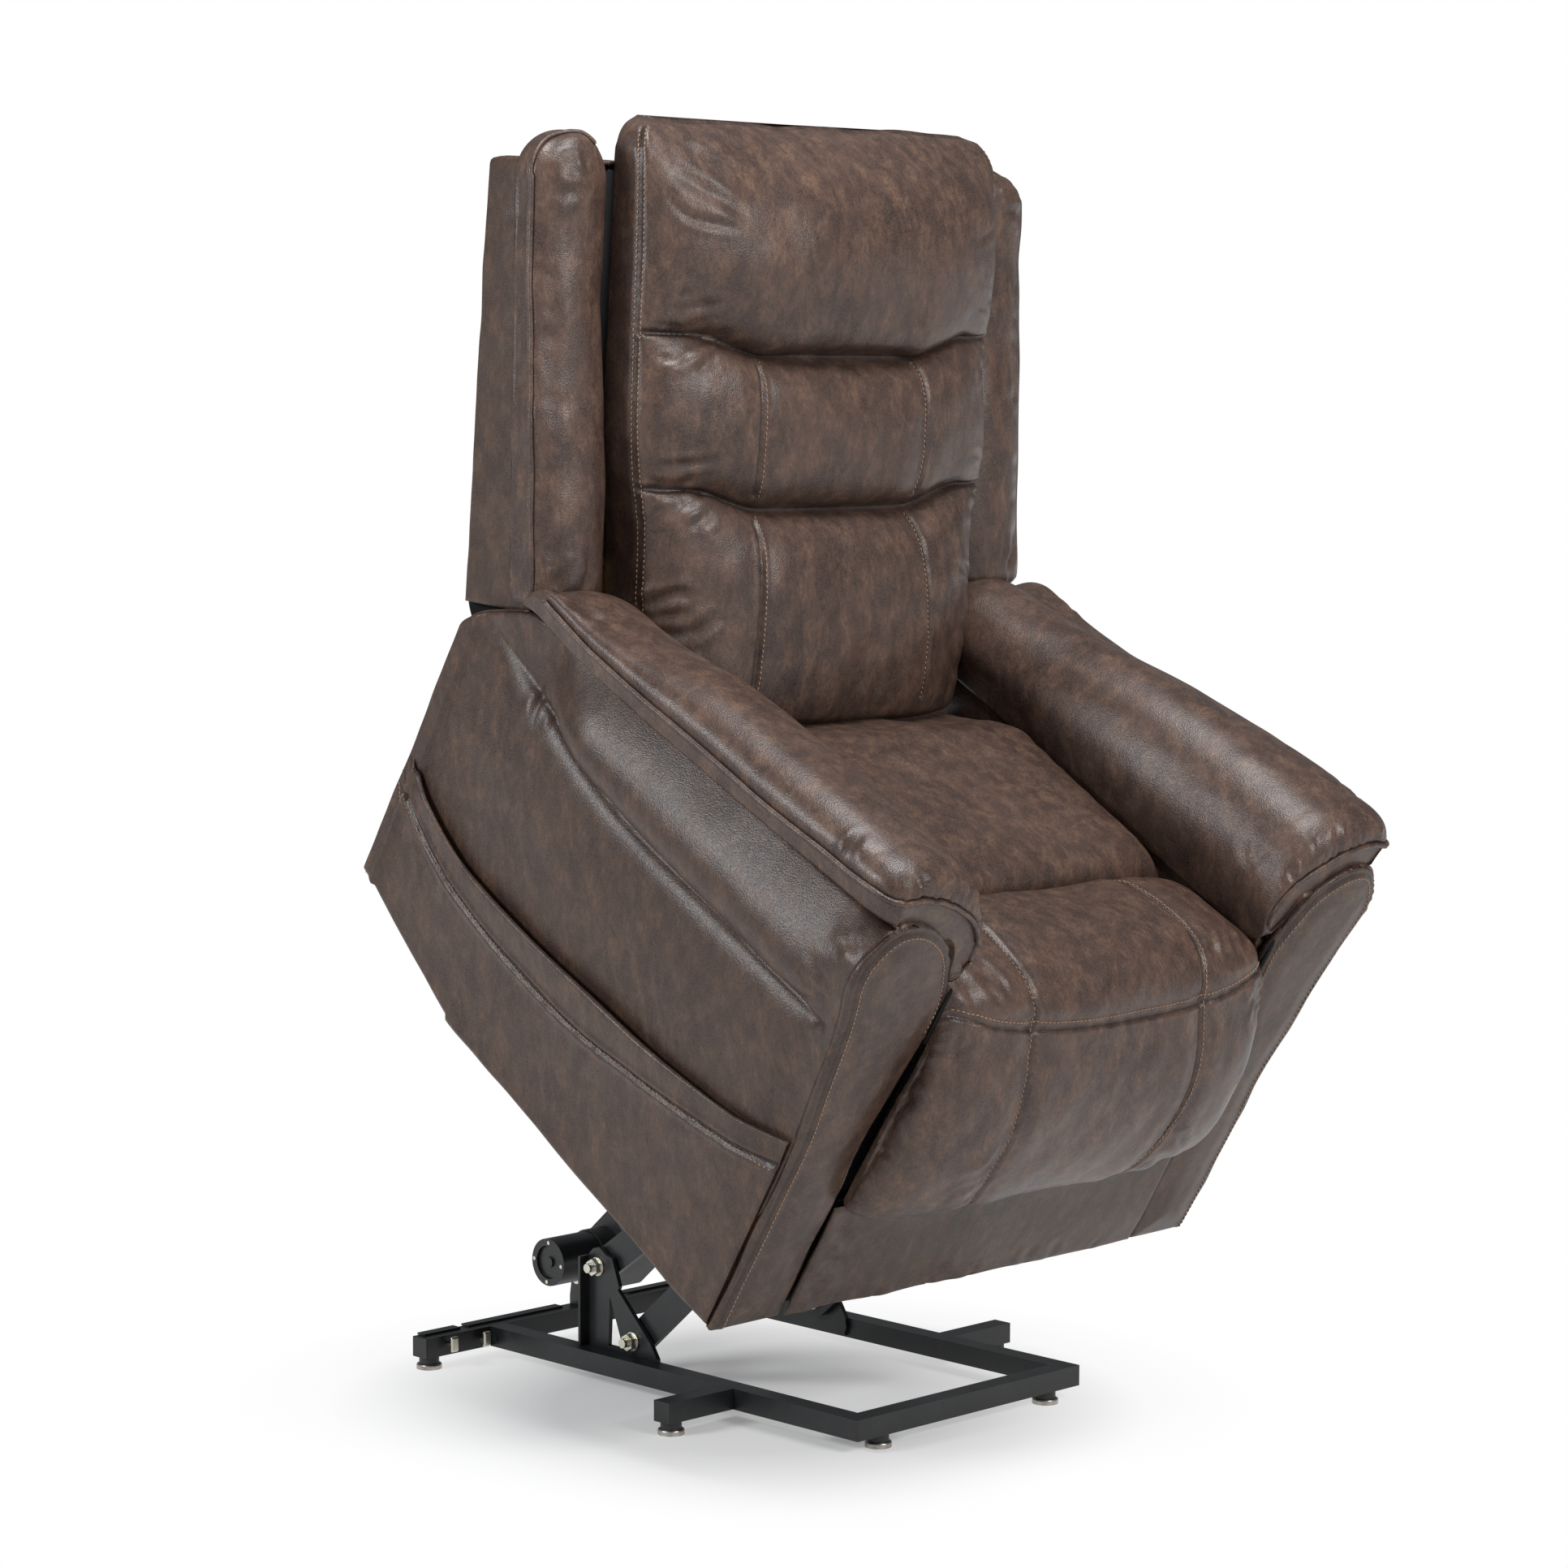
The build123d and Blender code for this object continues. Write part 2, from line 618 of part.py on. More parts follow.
def legrest():
    hy, hz = legrest_hinge
    front = hy - roll_r
    rear = front + legrest_t
    low = legrest_low
    arc = ThreePointArc((0, front, hz), (0, hy, hz + roll_r), (0, hy + roll_r, hz))
    turned = roll_r * 0.7071
    under = ThreePointArc((0, hy + roll_r, hz), (0, hy + turned, hz - turned), (0, hy, hz - roll_r))
    rest = Polyline(
        (0, hy, hz - roll_r), (0, rear, hz - roll_r), (0, rear, low + 6), (0, rear - 10, low),
        (0, front + 20, low), (0, front + 3, low + 18), (0, front, low + 50), (0, front, hz),
    )
    wide = legrest_half + legrest_flare
    pad = extrude(make_face([arc, under, rest]), amount=wide, both=True, dir=(1, 0, 0))
    front_view = [
        (-legrest_half, hz + roll_r + 1), (-legrest_half, hz - 40), (-wide + 3, hz - 140), (-wide, low - 1),
    ]
    front_view += [(-x, z) for x, z in reversed(front_view)]
    pad &= panel(front_view, front - 1, hy + roll_r + 1)
    arm_w, arm_t = 20.0, 5.0
    arm_x = -legrest_half + 8
    arm = bar((hy, hz), (hy, low + 60), arm_x, arm_x + arm_t, arm_w)
    room = bar((hy, hz), (hy, low + 60), -wide - 1, arm_x + arm_t + 1, arm_w + 0.6)
    for slot in pair(room):
        pad -= slot
    keep("legrest_pad", pad, chair)
    board_half = -arm_x - arm_t
    board = block(-board_half, board_half, rear, rear + legrest_board_t, low + 12, hz - roll_r - 1)
    keep("legrest_board", board, chair)
    arm -= cylinder_x(bolt_r, arm_x - 1, arm_x + arm_t + 1, hy, hz)
    keep("legrest_arms", pair(arm), chair)
    pin = cylinder_x(bolt_r - bolt_clear, -arm_inner, arm_x + arm_t, hy, hz)
    keep("legrest_pins", pair(pin), chair)


def build_chair_body():
    for side, boards in (("left", arm_box()), ("right", [mirror(b, about=Plane.YZ) for b in arm_box()])):
        keep(f"arm_frame_{side}", boards, chair)
    keep_both("side_panel", side_cover(), chair)
    keep_both("arm_bolster", bolster(), chair)
    keep_both("front_post", front_post(), chair)
    keep_both("arm_pad", arm_pad(), chair)
    keep("side_pocket", pocket(), chair)
    seat()
    seat_support()
    skirt()


# ---------------------------------------------------------------- back
def wing_rear(height):
    """Rear face of the side bolsters at a height up the back; it leans away with height."""
    return wing_rear_low + (height - wing_low) * wing_lean


def behind_wings(x0, x1, low, high, depth):
    """A rail across X whose front face lies along the rear of the side bolsters."""
    front_low, front_high = wing_rear(low), wing_rear(high)
    corners = [(front_low, low), (front_low + depth, low), (front_high + depth, high), (front_high, high)]
    return plate(corners, x0, x1)


def pillow(half, edge, side_view):
    """One section of the back cushion: a crowned front on an outline seen from the side."""
    front = min(n for n, u in side_view)
    section = [
        (-half, cushion_rear), (-half, edge), (-half + 26, (edge * 2 + front) / 3 - 4),
        (-half + 90, front + 12), (-half + 170, front),
    ]
    section += [(-x, n) for x, n in reversed(section)]
    low = min(u for n, u in side_view)
    high = max(u for n, u in side_view)
    outline = Polyline(*[(x, n, low) for x, n in section], close=True)
    solid = extrude(make_face(outline), amount=high - low, dir=(0, 0, 1))
    return solid & plate(side_view, -half - 1, half + 1)


def back_cushion():
    rear = cushion_rear
    low_fold, high_fold = lumbar_top, mid_top
    lumbar = [
        (rear, -24), (-125, -24), (-150, -4), (-156, 50), (-146, 140),
        (-116, low_fold - 1), (rear, low_fold - 1),
    ]
    middle = [
        (rear, low_fold + 1), (-112, low_fold + 1), (-128, low_fold + 50), (-124, high_fold - 50),
        (-98, high_fold - 1), (rear, high_fold - 1),
    ]
    head = [
        (rear, high_fold + 1), (-98, high_fold + 1), (-124, high_fold + 50), (-120, high_fold + 140),
        (-90, head_top - 62), (-50, head_top - 14), (-12, head_top), (rear, head_top - 6),
    ]
    sections = [
        pillow(lumbar_half, -60, lumbar),
        pillow(cushion_half - 3, -48, middle),
        pillow(cushion_half, -40, head),
    ]
    keep("back_cushion", sections, back)


def wing():
    """Side bolster: a flat outer edge, then a rounded front that falls to the inner side."""
    start = wing_low - 40
    rear = wing_rear(start)
    section = [
        (-wing_out, 0), (-wing_out, 35), (-385, wing_deep - 19), (-368, wing_deep - 4), (-350, wing_deep),
        (-328, wing_deep - 6), (-wing_in - 2, wing_deep - 24), (-wing_in, wing_deep - 42), (-wing_in, 0),
    ]
    outline = Polyline(*[(x, rear - forward, start) for x, forward in section], close=True)
    length = wing_high - start
    solid = extrude(make_face(outline), amount=length * hypot(1, wing_lean), dir=(0, wing_lean, 1))
    side_view = [
        (120, wing_low), (120, wing_high - 42), (60, wing_high - 14), (20, wing_high), (-10, wing_high - 10),
        (-28, wing_high - 42), (-120, wing_high - 42), (-120, wing_low + 79), (-62, wing_low + 79),
        (-5, wing_low),
    ]
    return solid & plate(side_view, -wing_out - 1, 1 - wing_in)


def shell():
    """Outer back: rear panel, two sides and a top, open at the bottom and the front."""
    front_low, front_high = 62.0, 100.0
    sides = [
        (front_low, shell_low), (shell_rear, shell_low), (shell_rear, shell_high), (front_high, shell_high),
    ]
    outer = plate(sides, -shell_half, shell_half)
    inside = shell_half - shell_t
    hollow = block(-inside, inside, -50, shell_rear - shell_t, shell_low - 1, shell_high - shell_t)
    return outer - hollow


def back_frame():
    top = shell_high - shell_t
    inside = shell_half - shell_t
    front = cushion_rear + web_t
    sides = [(front, 4), (wing_rear_low, 4), (wing_rear_low, wing_low), (wing_rear(top), top), (front, top)]
    keep("back_uprights", pair(plate(sides, 2 - lumbar_half, 27 - lumbar_half)), back)
    rails = [behind_wings(-inside, inside, low, low + 50, board_t) for low in (wing_low, 350)]
    against_shell = shell_rear - shell_t
    cap = [
        (wing_rear(top - 24), top - 24), (against_shell, top - 24), (against_shell, top), (wing_rear(top), top),
    ]
    rails.append(plate(cap, -inside, inside))
    infill = [(front, top - 24), (wing_rear(top - 24), top - 24), (wing_rear(top), top), (front, top)]
    rails.append(plate(infill, 27 - lumbar_half, lumbar_half - 27))
    keep("back_rails", rails, back)
    wide = lumbar_half - 2
    webs = [block(-wide, wide, cushion_rear, front, z, z + 50) for z in (20, 210, 290, 460)]
    keep("back_webbing", webs, back)
    liner = block(27 - lumbar_half, lumbar_half - 27, wing_rear_low - 2, wing_rear_low, -30, wing_low + 10)
    keep("back_liner", liner, back)


def back_hinge_parts():
    """Hinge plates low on each side of the back, turning on bolts from the arm boxes."""
    hy, hz = back_hinge
    c, s = cos(radians(back_lean)), sin(radians(back_lean))
    dy, dz = hy - back_origin[0], hz - back_origin[1]
    n, u = dy * c - dz * s, dy * s + dz * c
    x0 = 2 - lumbar_half
    tongue = bar((n, u), (cushion_rear + 18, u + 90), x0 - 6, x0, 30)
    tongue -= cylinder_x(bolt_r, x0 - 7, x0 + 1, n, u)
    keep("back_hinge_plates", pair(tongue), back)
    bolt = cylinder_x(bolt_r - bolt_clear, -arm_inner, x0 + 8, hy, hz)
    bolt += cylinder_x(10, x0, x0 + 8, hy, hz) + cylinder_x(14, -arm_inner, x0 - 8, hy, hz)
    keep("back_hinge_bolts", pair(bolt), chair)


def build_back():
    back_cushion()
    keep_both("back_wing", wing(), back)
    keep("back_shell", shell(), back)
    back_frame()
    back_hinge_parts()


floor_frame()
lift_linkage()
lift_frame()
control_box()
lift_actuator()
actuator_mounts()
build_chair_body()
legrest()
build_back()

os.makedirs("parts", exist_ok=True)
box = Compound([solid for solids in nodes.values() for solid in solids]).bounding_box()
centre = Pos(-box.center().X, -box.center().Y, 0)
for name, solids in nodes.items():
    export_step(Compound([centre * solid for solid in solids]), f"parts/{name}.step")
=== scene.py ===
import json
import math
import random

import bpy
import numpy as np
from mathutils import Matrix, Vector
from mathutils.bvhtree import BVHTree


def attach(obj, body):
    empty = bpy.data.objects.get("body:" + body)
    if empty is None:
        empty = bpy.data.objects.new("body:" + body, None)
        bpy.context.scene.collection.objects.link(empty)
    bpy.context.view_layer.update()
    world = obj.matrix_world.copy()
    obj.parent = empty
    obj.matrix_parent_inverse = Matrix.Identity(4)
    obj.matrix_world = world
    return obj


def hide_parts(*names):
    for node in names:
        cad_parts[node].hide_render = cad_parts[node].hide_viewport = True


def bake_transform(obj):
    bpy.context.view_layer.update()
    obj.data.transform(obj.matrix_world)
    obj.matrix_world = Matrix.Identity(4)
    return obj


# A lift recliner chair in its lifted pose: the soft pieces over the CAD frame, their materials, the room's
# light and the camera. Soft pieces are worked out in millimetres, in two tilted frames that the joints give:
# chair (x, rearwards, up) from the side panels' bottom front corner, and back (x, rearwards, up the back).

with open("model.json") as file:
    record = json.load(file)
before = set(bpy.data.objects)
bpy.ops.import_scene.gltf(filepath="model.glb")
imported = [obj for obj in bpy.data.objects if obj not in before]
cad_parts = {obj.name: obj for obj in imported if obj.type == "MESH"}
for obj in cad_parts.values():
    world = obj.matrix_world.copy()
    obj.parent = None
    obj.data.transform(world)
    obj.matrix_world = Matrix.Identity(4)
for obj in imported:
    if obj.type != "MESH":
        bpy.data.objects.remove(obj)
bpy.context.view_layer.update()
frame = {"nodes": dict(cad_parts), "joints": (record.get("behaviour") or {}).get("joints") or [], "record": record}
nodes = frame["nodes"]

TILT = math.radians(31)
LEAN = math.radians(26)
LEG_HINGE = (10.0, 440.0)         # in the chair frame, as in the source
BACK_ORIGIN = (640.0, 430.0)


class Place:
    """A tilted frame: out() turns its millimetres into row metres."""

    def __init__(self, origin, tilt):
        c, s = math.cos(tilt), math.sin(tilt)
        self.turn = np.array([[1, 0, 0], [0, c, -s], [0, s, c]])
        self.origin = np.array(origin, float)

    def out(self, points):
        return np.asarray(points, float) / 1000 @ self.turn.T + self.origin


def place_through(joint, at, tilt):
    """The frame of that tilt in which the joint's pivot lies at the point (y, z)."""
    pivot = next(j["pos_m"] for j in frame["joints"] if j["name"] == joint)
    shifted = Place((0, 0, 0), tilt).out([(0, at[0], at[1])])[0]
    return Place(np.array([0, pivot[1], pivot[2]]) - shifted, tilt)


chair = place_through("leg_rest", LEG_HINGE, TILT)
back = Place(chair.out([(0, *BACK_ORIGIN)])[0], TILT - LEAN)


# ---- lines and smooth functions

def run_along(line):
    """How far along the line each of its points lies."""
    return np.r_[0, np.cumsum(np.linalg.norm(np.diff(line, axis=0), axis=1))]


def pick(line, run, at):
    """The places of the line where its run reaches the values at."""
    return np.column_stack([np.interp(at, run, line[:, k]) for k in range(line.shape[1])])


def resampled(line, count):
    """The line again, with that many points."""
    return pick(line, np.arange(len(line)), np.linspace(0, len(line) - 1, count))


def spline(a, b, c, d, t):
    """Points at the shares t of the way from b to c, on the smooth line through a, b, c and d."""
    bend = (2 * a - 5 * b + 4 * c - d) * t ** 2 + (3 * b - a - 3 * c + d) * t ** 3
    return 0.5 * (2 * b + (c - a) * t + bend)


def with_ends(points):
    """The points and one more beyond each end."""
    p = np.array(points, float)
    return np.vstack([2 * p[0] - p[1], p, 2 * p[-1] - p[-2]])


def curve(points, step=3.0):
    """A smooth line through the points, with a point every step."""
    p = with_ends(points)
    t = np.linspace(0, 1, 24, endpoint=False)[:, None]
    line = np.vstack([spline(*p[i:i + 4], t) for i in range(len(p) - 3)] + [p[-2:-1]])
    run = run_along(line)
    return pick(line, run, np.linspace(0, run[-1], max(2, int(run[-1] / step) + 1)))


def evenly(points, count):
    """A smooth line through the points, with that many points."""
    return resampled(curve(points, 1.0), count)


def evenly_matched(points, count):
    """The line at even shares between its points, so that lines with as many points keep together."""
    p = with_ends(points)
    at = np.linspace(0, len(points) - 1, count)
    i = np.minimum(at.astype(int), len(points) - 2)
    return spline(p[i], p[i + 1], p[i + 2], p[i + 3], (at - i)[:, None])


def track(*points):
    """A smooth function of one number through the points (where, value)."""
    line = curve(sorted(points), 1.0)
    return lambda at: np.interp(at, line[:, 0], line[:, 1])


def columns(values, count):
    """The values as a column, repeated to the right."""
    return np.repeat(values[:, None], count, 1)


def ease(low, high, at):
    """0 below low, 1 above high, smooth between."""
    t = np.clip((np.asarray(at, float) - low) / (high - low), 0, 1)
    return t * t * (3 - 2 * t)


def rounding(edge, radius):
    """How far a rounded edge falls back, at that distance from it."""
    return radius * (1 - np.sqrt(1 - (1 - np.clip(edge / radius, 0, 1)) ** 2))


def ripple(points, size, seed):
    """Smooth undulation, mostly from -1 to 1, with features of about that size in mm."""
    waves = 14
    draw = np.random.default_rng(seed)
    total = np.zeros(len(points))
    for _ in range(waves):
        way = draw.normal(size=3)
        way *= 2 * math.pi / (size * draw.uniform(0.7, 1.8)) / np.linalg.norm(way)
        total += np.sin(points @ way + draw.uniform(0, 2 * math.pi))
    return total / math.sqrt(waves)


# ---- soft forms

class Form:
    """A soft form on a grid of points (rows, columns, 3) in its place's millimetres."""

    def __init__(self, name, place, grid, closed=True, caps=True):
        rows, cols = grid.shape[:2]
        self.name, self.place = name, place
        self.co = grid.reshape(-1, 3).astype(float)
        index = np.arange(rows * cols).reshape(rows, cols)
        across = np.roll(index, -1, axis=1) if closed else index[:, 1:]
        base = index if closed else index[:, :-1]
        quads = np.stack([base[:-1], across[:-1], across[1:], base[1:]], axis=-1)
        self.quads = quads.reshape(-1, 4)
        self.caps = [list(index[0]), list(index[-1])[::-1]] if closed and caps else []
        # Painted shade: how much darker the leather is drawn in grooves, folds and wrinkles, given to the mesh as
        # its 'seam' attribute.
        self.dark = np.zeros(len(self.co))
        self.free = np.ones(len(self.co))
        self.tree = None
        self.onto = None          # lays a line on the form's front, where nearest isn't good enough
        volume = np.einsum("ij,ij->i", self.co[self.quads[:, 0]], self.face_normals()).sum()
        if closed and volume < 0:
            self.quads = self.quads[:, ::-1]
            self.caps = [c[::-1] for c in self.caps]

    def face_normals(self):
        a, b, c, d = (self.co[self.quads[:, k]] for k in range(4))
        return np.cross(c - a, d - b)

    def normals(self):
        flat = self.face_normals()
        total = np.zeros_like(self.co)
        for k in range(4):
            np.add.at(total, self.quads[:, k], flat)
        return total / (np.linalg.norm(total, axis=1)[:, None] + 1e-9)

    def push(self, amount):
        self.co += self.normals() * (self.free * amount)[:, None]
        self.tree = None

    def uneven(self, seed, *waves, where=1.0):
        """Gentle undulation, where asked: each wave is (size, height) in mm."""
        parts = [ripple(self.co, size, seed + i) * high for i, (size, high) in enumerate(waves)]
        self.push(sum(parts) * where)

    def snap(self, line, lift=0.0):
        """The nearest points of the surface to a line, raised by lift, and the normals there."""
        if self.tree is None:
            self.tree = BVHTree.FromPolygons(self.co.tolist(), self.quads.tolist())
        found = [self.tree.find_nearest(Vector(p)) for p in line]
        at = np.array([f[0] for f in found])
        up = np.array([f[1] for f in found])
        up[1:-1] = (up[:-2] + up[1:-1] + up[2:]) / 3
        up /= np.linalg.norm(up, axis=1)[:, None]
        return at + up * lift, up

    def reach(self, line, far):
        """For the vertices within far of the line: their index, distance and share of the line's run."""
        low, high = line.min(0) - far, line.max(0) + far
        near = np.nonzero(((self.co > low) & (self.co < high)).all(1))[0]
        gap = np.full(len(near), 1e9)
        share = np.zeros(len(near))
        for i, p in enumerate(line):
            d = np.linalg.norm(self.co[near] - p, axis=1)
            closer = d < gap
            gap[closer] = d[closer]
            share[closer] = i / (len(line) - 1)
        keep = gap < far
        return near[keep], gap[keep], share[keep]

    def valley(self, line, width, depth, fade, shade, lips):
        """The height change of a sewn channel or fold: a valley with soft lips that fades at its ends, plus
        painted shade along its middle.
        """
        at, gap, share = self.reach(line, width * 4)
        strength = np.ones(len(at))
        if fade:
            strength = np.clip(np.minimum(share, 1 - share) / fade, 0, 1) ** 0.7
        shoulder = np.exp(-((gap - 2.2 * width) / (1.1 * width)) ** 2)
        move = np.zeros(len(self.co))
        move[at] = strength * depth * (lips * shoulder - np.exp(-(gap / width) ** 2))
        # Painted shade: the leather is drawn darker along the valley's middle, by shade.
        self.dark[at] = np.maximum(self.dark[at], shade * strength * np.exp(-(gap / (0.8 * width)) ** 2))
        return move

    def groove(self, points, width, depth, fade=0.0, shade=0.6, lips=0.3):
        line = self.snap(curve(points))[0]
        self.push(self.valley(line, width, depth, fade, shade, lips))
        return line

    def wrinkles(self, seed, count, start, length, way, width=5.0, depth=2.0, spread=0.5, lips=0.6):
        """Short folds that start along a line, about evenly spaced, and run off about one way."""
        draw = random.Random(seed)
        line = curve(start)
        total = np.zeros(len(self.co))
        for i in range(count):
            begin = int((i + draw.uniform(0.1, 0.9)) / count * (len(line) - 1))
            p = line[begin] + np.array([draw.uniform(-3, 3) for _ in range(3)])
            turn = np.array(way, float)
            turn = turn / np.linalg.norm(turn) + np.array([draw.uniform(-spread, spread) for _ in range(3)])
            reach = turn / np.linalg.norm(turn) * length * draw.uniform(0.5, 1.2)
            sag = np.array([draw.uniform(-0.12, 0.12) for _ in range(3)]) * length
            size = draw.uniform(0.6, 1.2)
            path = curve([p, p + reach / 2 + sag, p + reach])
            fold = self.snap(self.onto(path) if self.onto else path)[0]
            # Each wrinkle also paints a little shade (0.16) along its valley.
            total += self.valley(fold, width * size, depth * size, 0.45, 0.16, lips)
        self.push(total)

    def folds(self, side, *groups):
        """Groups of wrinkles whose start and way are given for the right-hand side."""
        for seed, count, start, length, way, *shape in groups:
            start = [(side * x, *rest) for x, *rest in start]
            self.wrinkles(seed, count, start, length, (side * way[0], *way[1:]), *shape)

    def build(self, material, body, slot, stands_for=(), thick=0.0):
        mesh = bpy.data.meshes.new(self.name)
        mesh.from_pydata(self.place.out(self.co).tolist(), [], self.quads.tolist() + self.caps)
        mesh.update()
        # The painted shade of the grooves, folds and wrinkles goes to the mesh as its 'seam' attribute.
        dark = mesh.attributes.new("seam", "FLOAT", "POINT")
        dark.data.foreach_set("value", self.dark.astype(np.float32))
        thing = add_mesh(self.name, mesh, material)
        if thick:
            skin = thing.modifiers.new("Thickness", "SOLIDIFY")
            skin.thickness = thick / 1000
            skin.offset = -1
            apply_modifiers(thing)
        finish_piece(thing, body, slot, stands_for)
        return thing


def apply_modifiers(thing):
    """Replaces the mesh with the one that its modifiers give."""
    shown = thing.evaluated_get(bpy.context.evaluated_depsgraph_get())
    mesh = bpy.data.meshes.new_from_object(shown)
    thing.modifiers.clear()
    thing.data = mesh


def add_mesh(name, mesh, material):
    mesh.name = name
    mesh.materials.clear()
    mesh.materials.append(material)
    mesh.polygons.foreach_set("use_smooth", [True] * len(mesh.polygons))
    thing = bpy.data.objects.new(name, mesh)
    bpy.context.scene.collection.objects.link(thing)
    return thing


def finish_piece(thing, body, slot, stands_for=()):
    if body:
        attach(thing, body)
    if stands_for:
        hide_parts(*stands_for)


def tube(name, place, line, radius, material, body):
    """A round cord along a line in the place's millimetres, such as piping, with closed ends."""
    sides = 8
    line = np.array(line)
    ahead = np.gradient(line, axis=0)
    ahead /= np.linalg.norm(ahead, axis=1)[:, None]
    side = np.cross(ahead, (0.31, 0.17, 0.93))
    side /= np.linalg.norm(side, axis=1)[:, None]
    up = np.cross(side, ahead)
    turn = np.linspace(0, 2 * math.pi, sides, endpoint=False)[None, :, None]
    ring = side[:, None] * np.cos(turn) + up[:, None] * np.sin(turn)
    size = np.full(len(line), radius)
    size[0] = size[-1] = radius * 0.6
    Form(name, place, line[:, None] + ring * size[:, None, None]).build(material, body, "cover")


def stitches(name, form, lines, material, body, lift=0.7):
    """Rows of dashed thread lying on a form along the lines."""
    pitch, length, radius = 6.6, 4.9, 0.68
    rings, sides = 5, 6
    co, faces = [], []
    for line in lines:
        path, up = form.snap(curve(line, 1.0), lift)
        run = run_along(path)
        for begin in np.arange(1.0, run[-1] - length, pitch):
            at = np.linspace(begin, begin + length, rings)
            mid, high = pick(path, run, at), pick(up, run, at)
            ahead = mid[-1] - mid[0]
            ahead /= np.linalg.norm(ahead) + 1e-9
            wide = np.cross(ahead, high)
            size = radius * np.array([0.45, 0.95, 1.0, 0.95, 0.45])
            drop = radius * np.array([1.5, 0.3, 0, 0.3, 1.5])
            first = len(co)
            for k in range(rings):
                centre = mid[k] - high[k] * drop[k]
                for j in range(sides):
                    a = j * 2 * math.pi / sides
                    co.append(centre + size[k] * (wide[k] * math.cos(a) * 1.25 + high[k] * math.sin(a)))
            last = first + sides * (rings - 1)
            for start in range(first, last, sides):
                for j in range(sides):
                    a, b = start + j, start + (j + 1) % sides
                    faces.append((a, b, b + sides, a + sides))
            faces.append(tuple(range(first, first + sides))[::-1])
            faces.append(tuple(range(last, last + sides)))
    mesh = bpy.data.meshes.new(name)
    mesh.from_pydata(form.place.out(co).tolist(), [], faces)
    thing = add_mesh(name, mesh, material)
    finish_piece(thing, body, "cover")
    return thing


# ---- materials

class Nodes:
    """Short hand for building a node material."""

    def __init__(self, name):
        self.material = bpy.data.materials.new(name)
        self.material.use_nodes = True
        self.tree = self.material.node_tree
        self.shader = self.tree.nodes["Principled BSDF"]
        self.where = self.add("ShaderNodeTexCoord").outputs["Object"]

    def add(self, kind, **sockets):
        node = self.tree.nodes.new(kind)
        for name, value in sockets.items():
            self.set(node, name, value)
        return node

    def set(self, node, name, value):
        key = int(name[1:]) if name[0] == "_" else name.replace("__", " ")
        if isinstance(value, bpy.types.NodeSocket):
            self.tree.links.new(value, node.inputs[key])
        else:
            node.inputs[key].default_value = value

    def math(self, kind, a, b=0.0, c=0.0):
        node = self.add("ShaderNodeMath", _0=a, _1=b, _2=c)
        node.operation = kind
        return node.outputs[0]

    def stretch(self, scale):
        return self.add("ShaderNodeMapping", Vector=self.where, Scale=scale).outputs[0]

    def noise(self, scale, detail=3.0, rough=0.5, warp=0.0, vector=None):
        node = self.add("ShaderNodeTexNoise", Vector=vector or self.where, Scale=scale, Detail=detail,
                        Roughness=rough, Distortion=warp)
        return node.outputs[0]

    def steps(self, value, *stops):
        """A colour ramp: each stop is (place, colour or grey)."""
        ramp = self.add("ShaderNodeValToRGB", Fac=value)
        points = ramp.color_ramp.elements
        while len(points) < len(stops):
            points.new(0.5)
        for point, (place, colour) in zip(points, stops):
            point.position = place
            point.color = (colour, colour, colour, 1) if isinstance(colour, float) else (*colour, 1)
        return ramp.outputs[0]

    def mix(self, share, a, b):
        node = self.add("ShaderNodeMix")
        node.data_type = "RGBA"
        self.set(node, "_0", share)
        self.set(node, "_6", a if isinstance(a, bpy.types.NodeSocket) else (*a, 1))
        self.set(node, "_7", b if isinstance(b, bpy.types.NodeSocket) else (*b, 1))
        return node.outputs[2]

    def bump(self, height, distance, strength=1.0, under=None):
        node = self.add("ShaderNodeBump", Height=height, Distance=distance, Strength=strength)
        if under:
            self.set(node, "Normal", under)
        return node.outputs[0]

    def finish(self, **sockets):
        for name, value in sockets.items():
            self.set(self.shader, name, value)
        return self.material


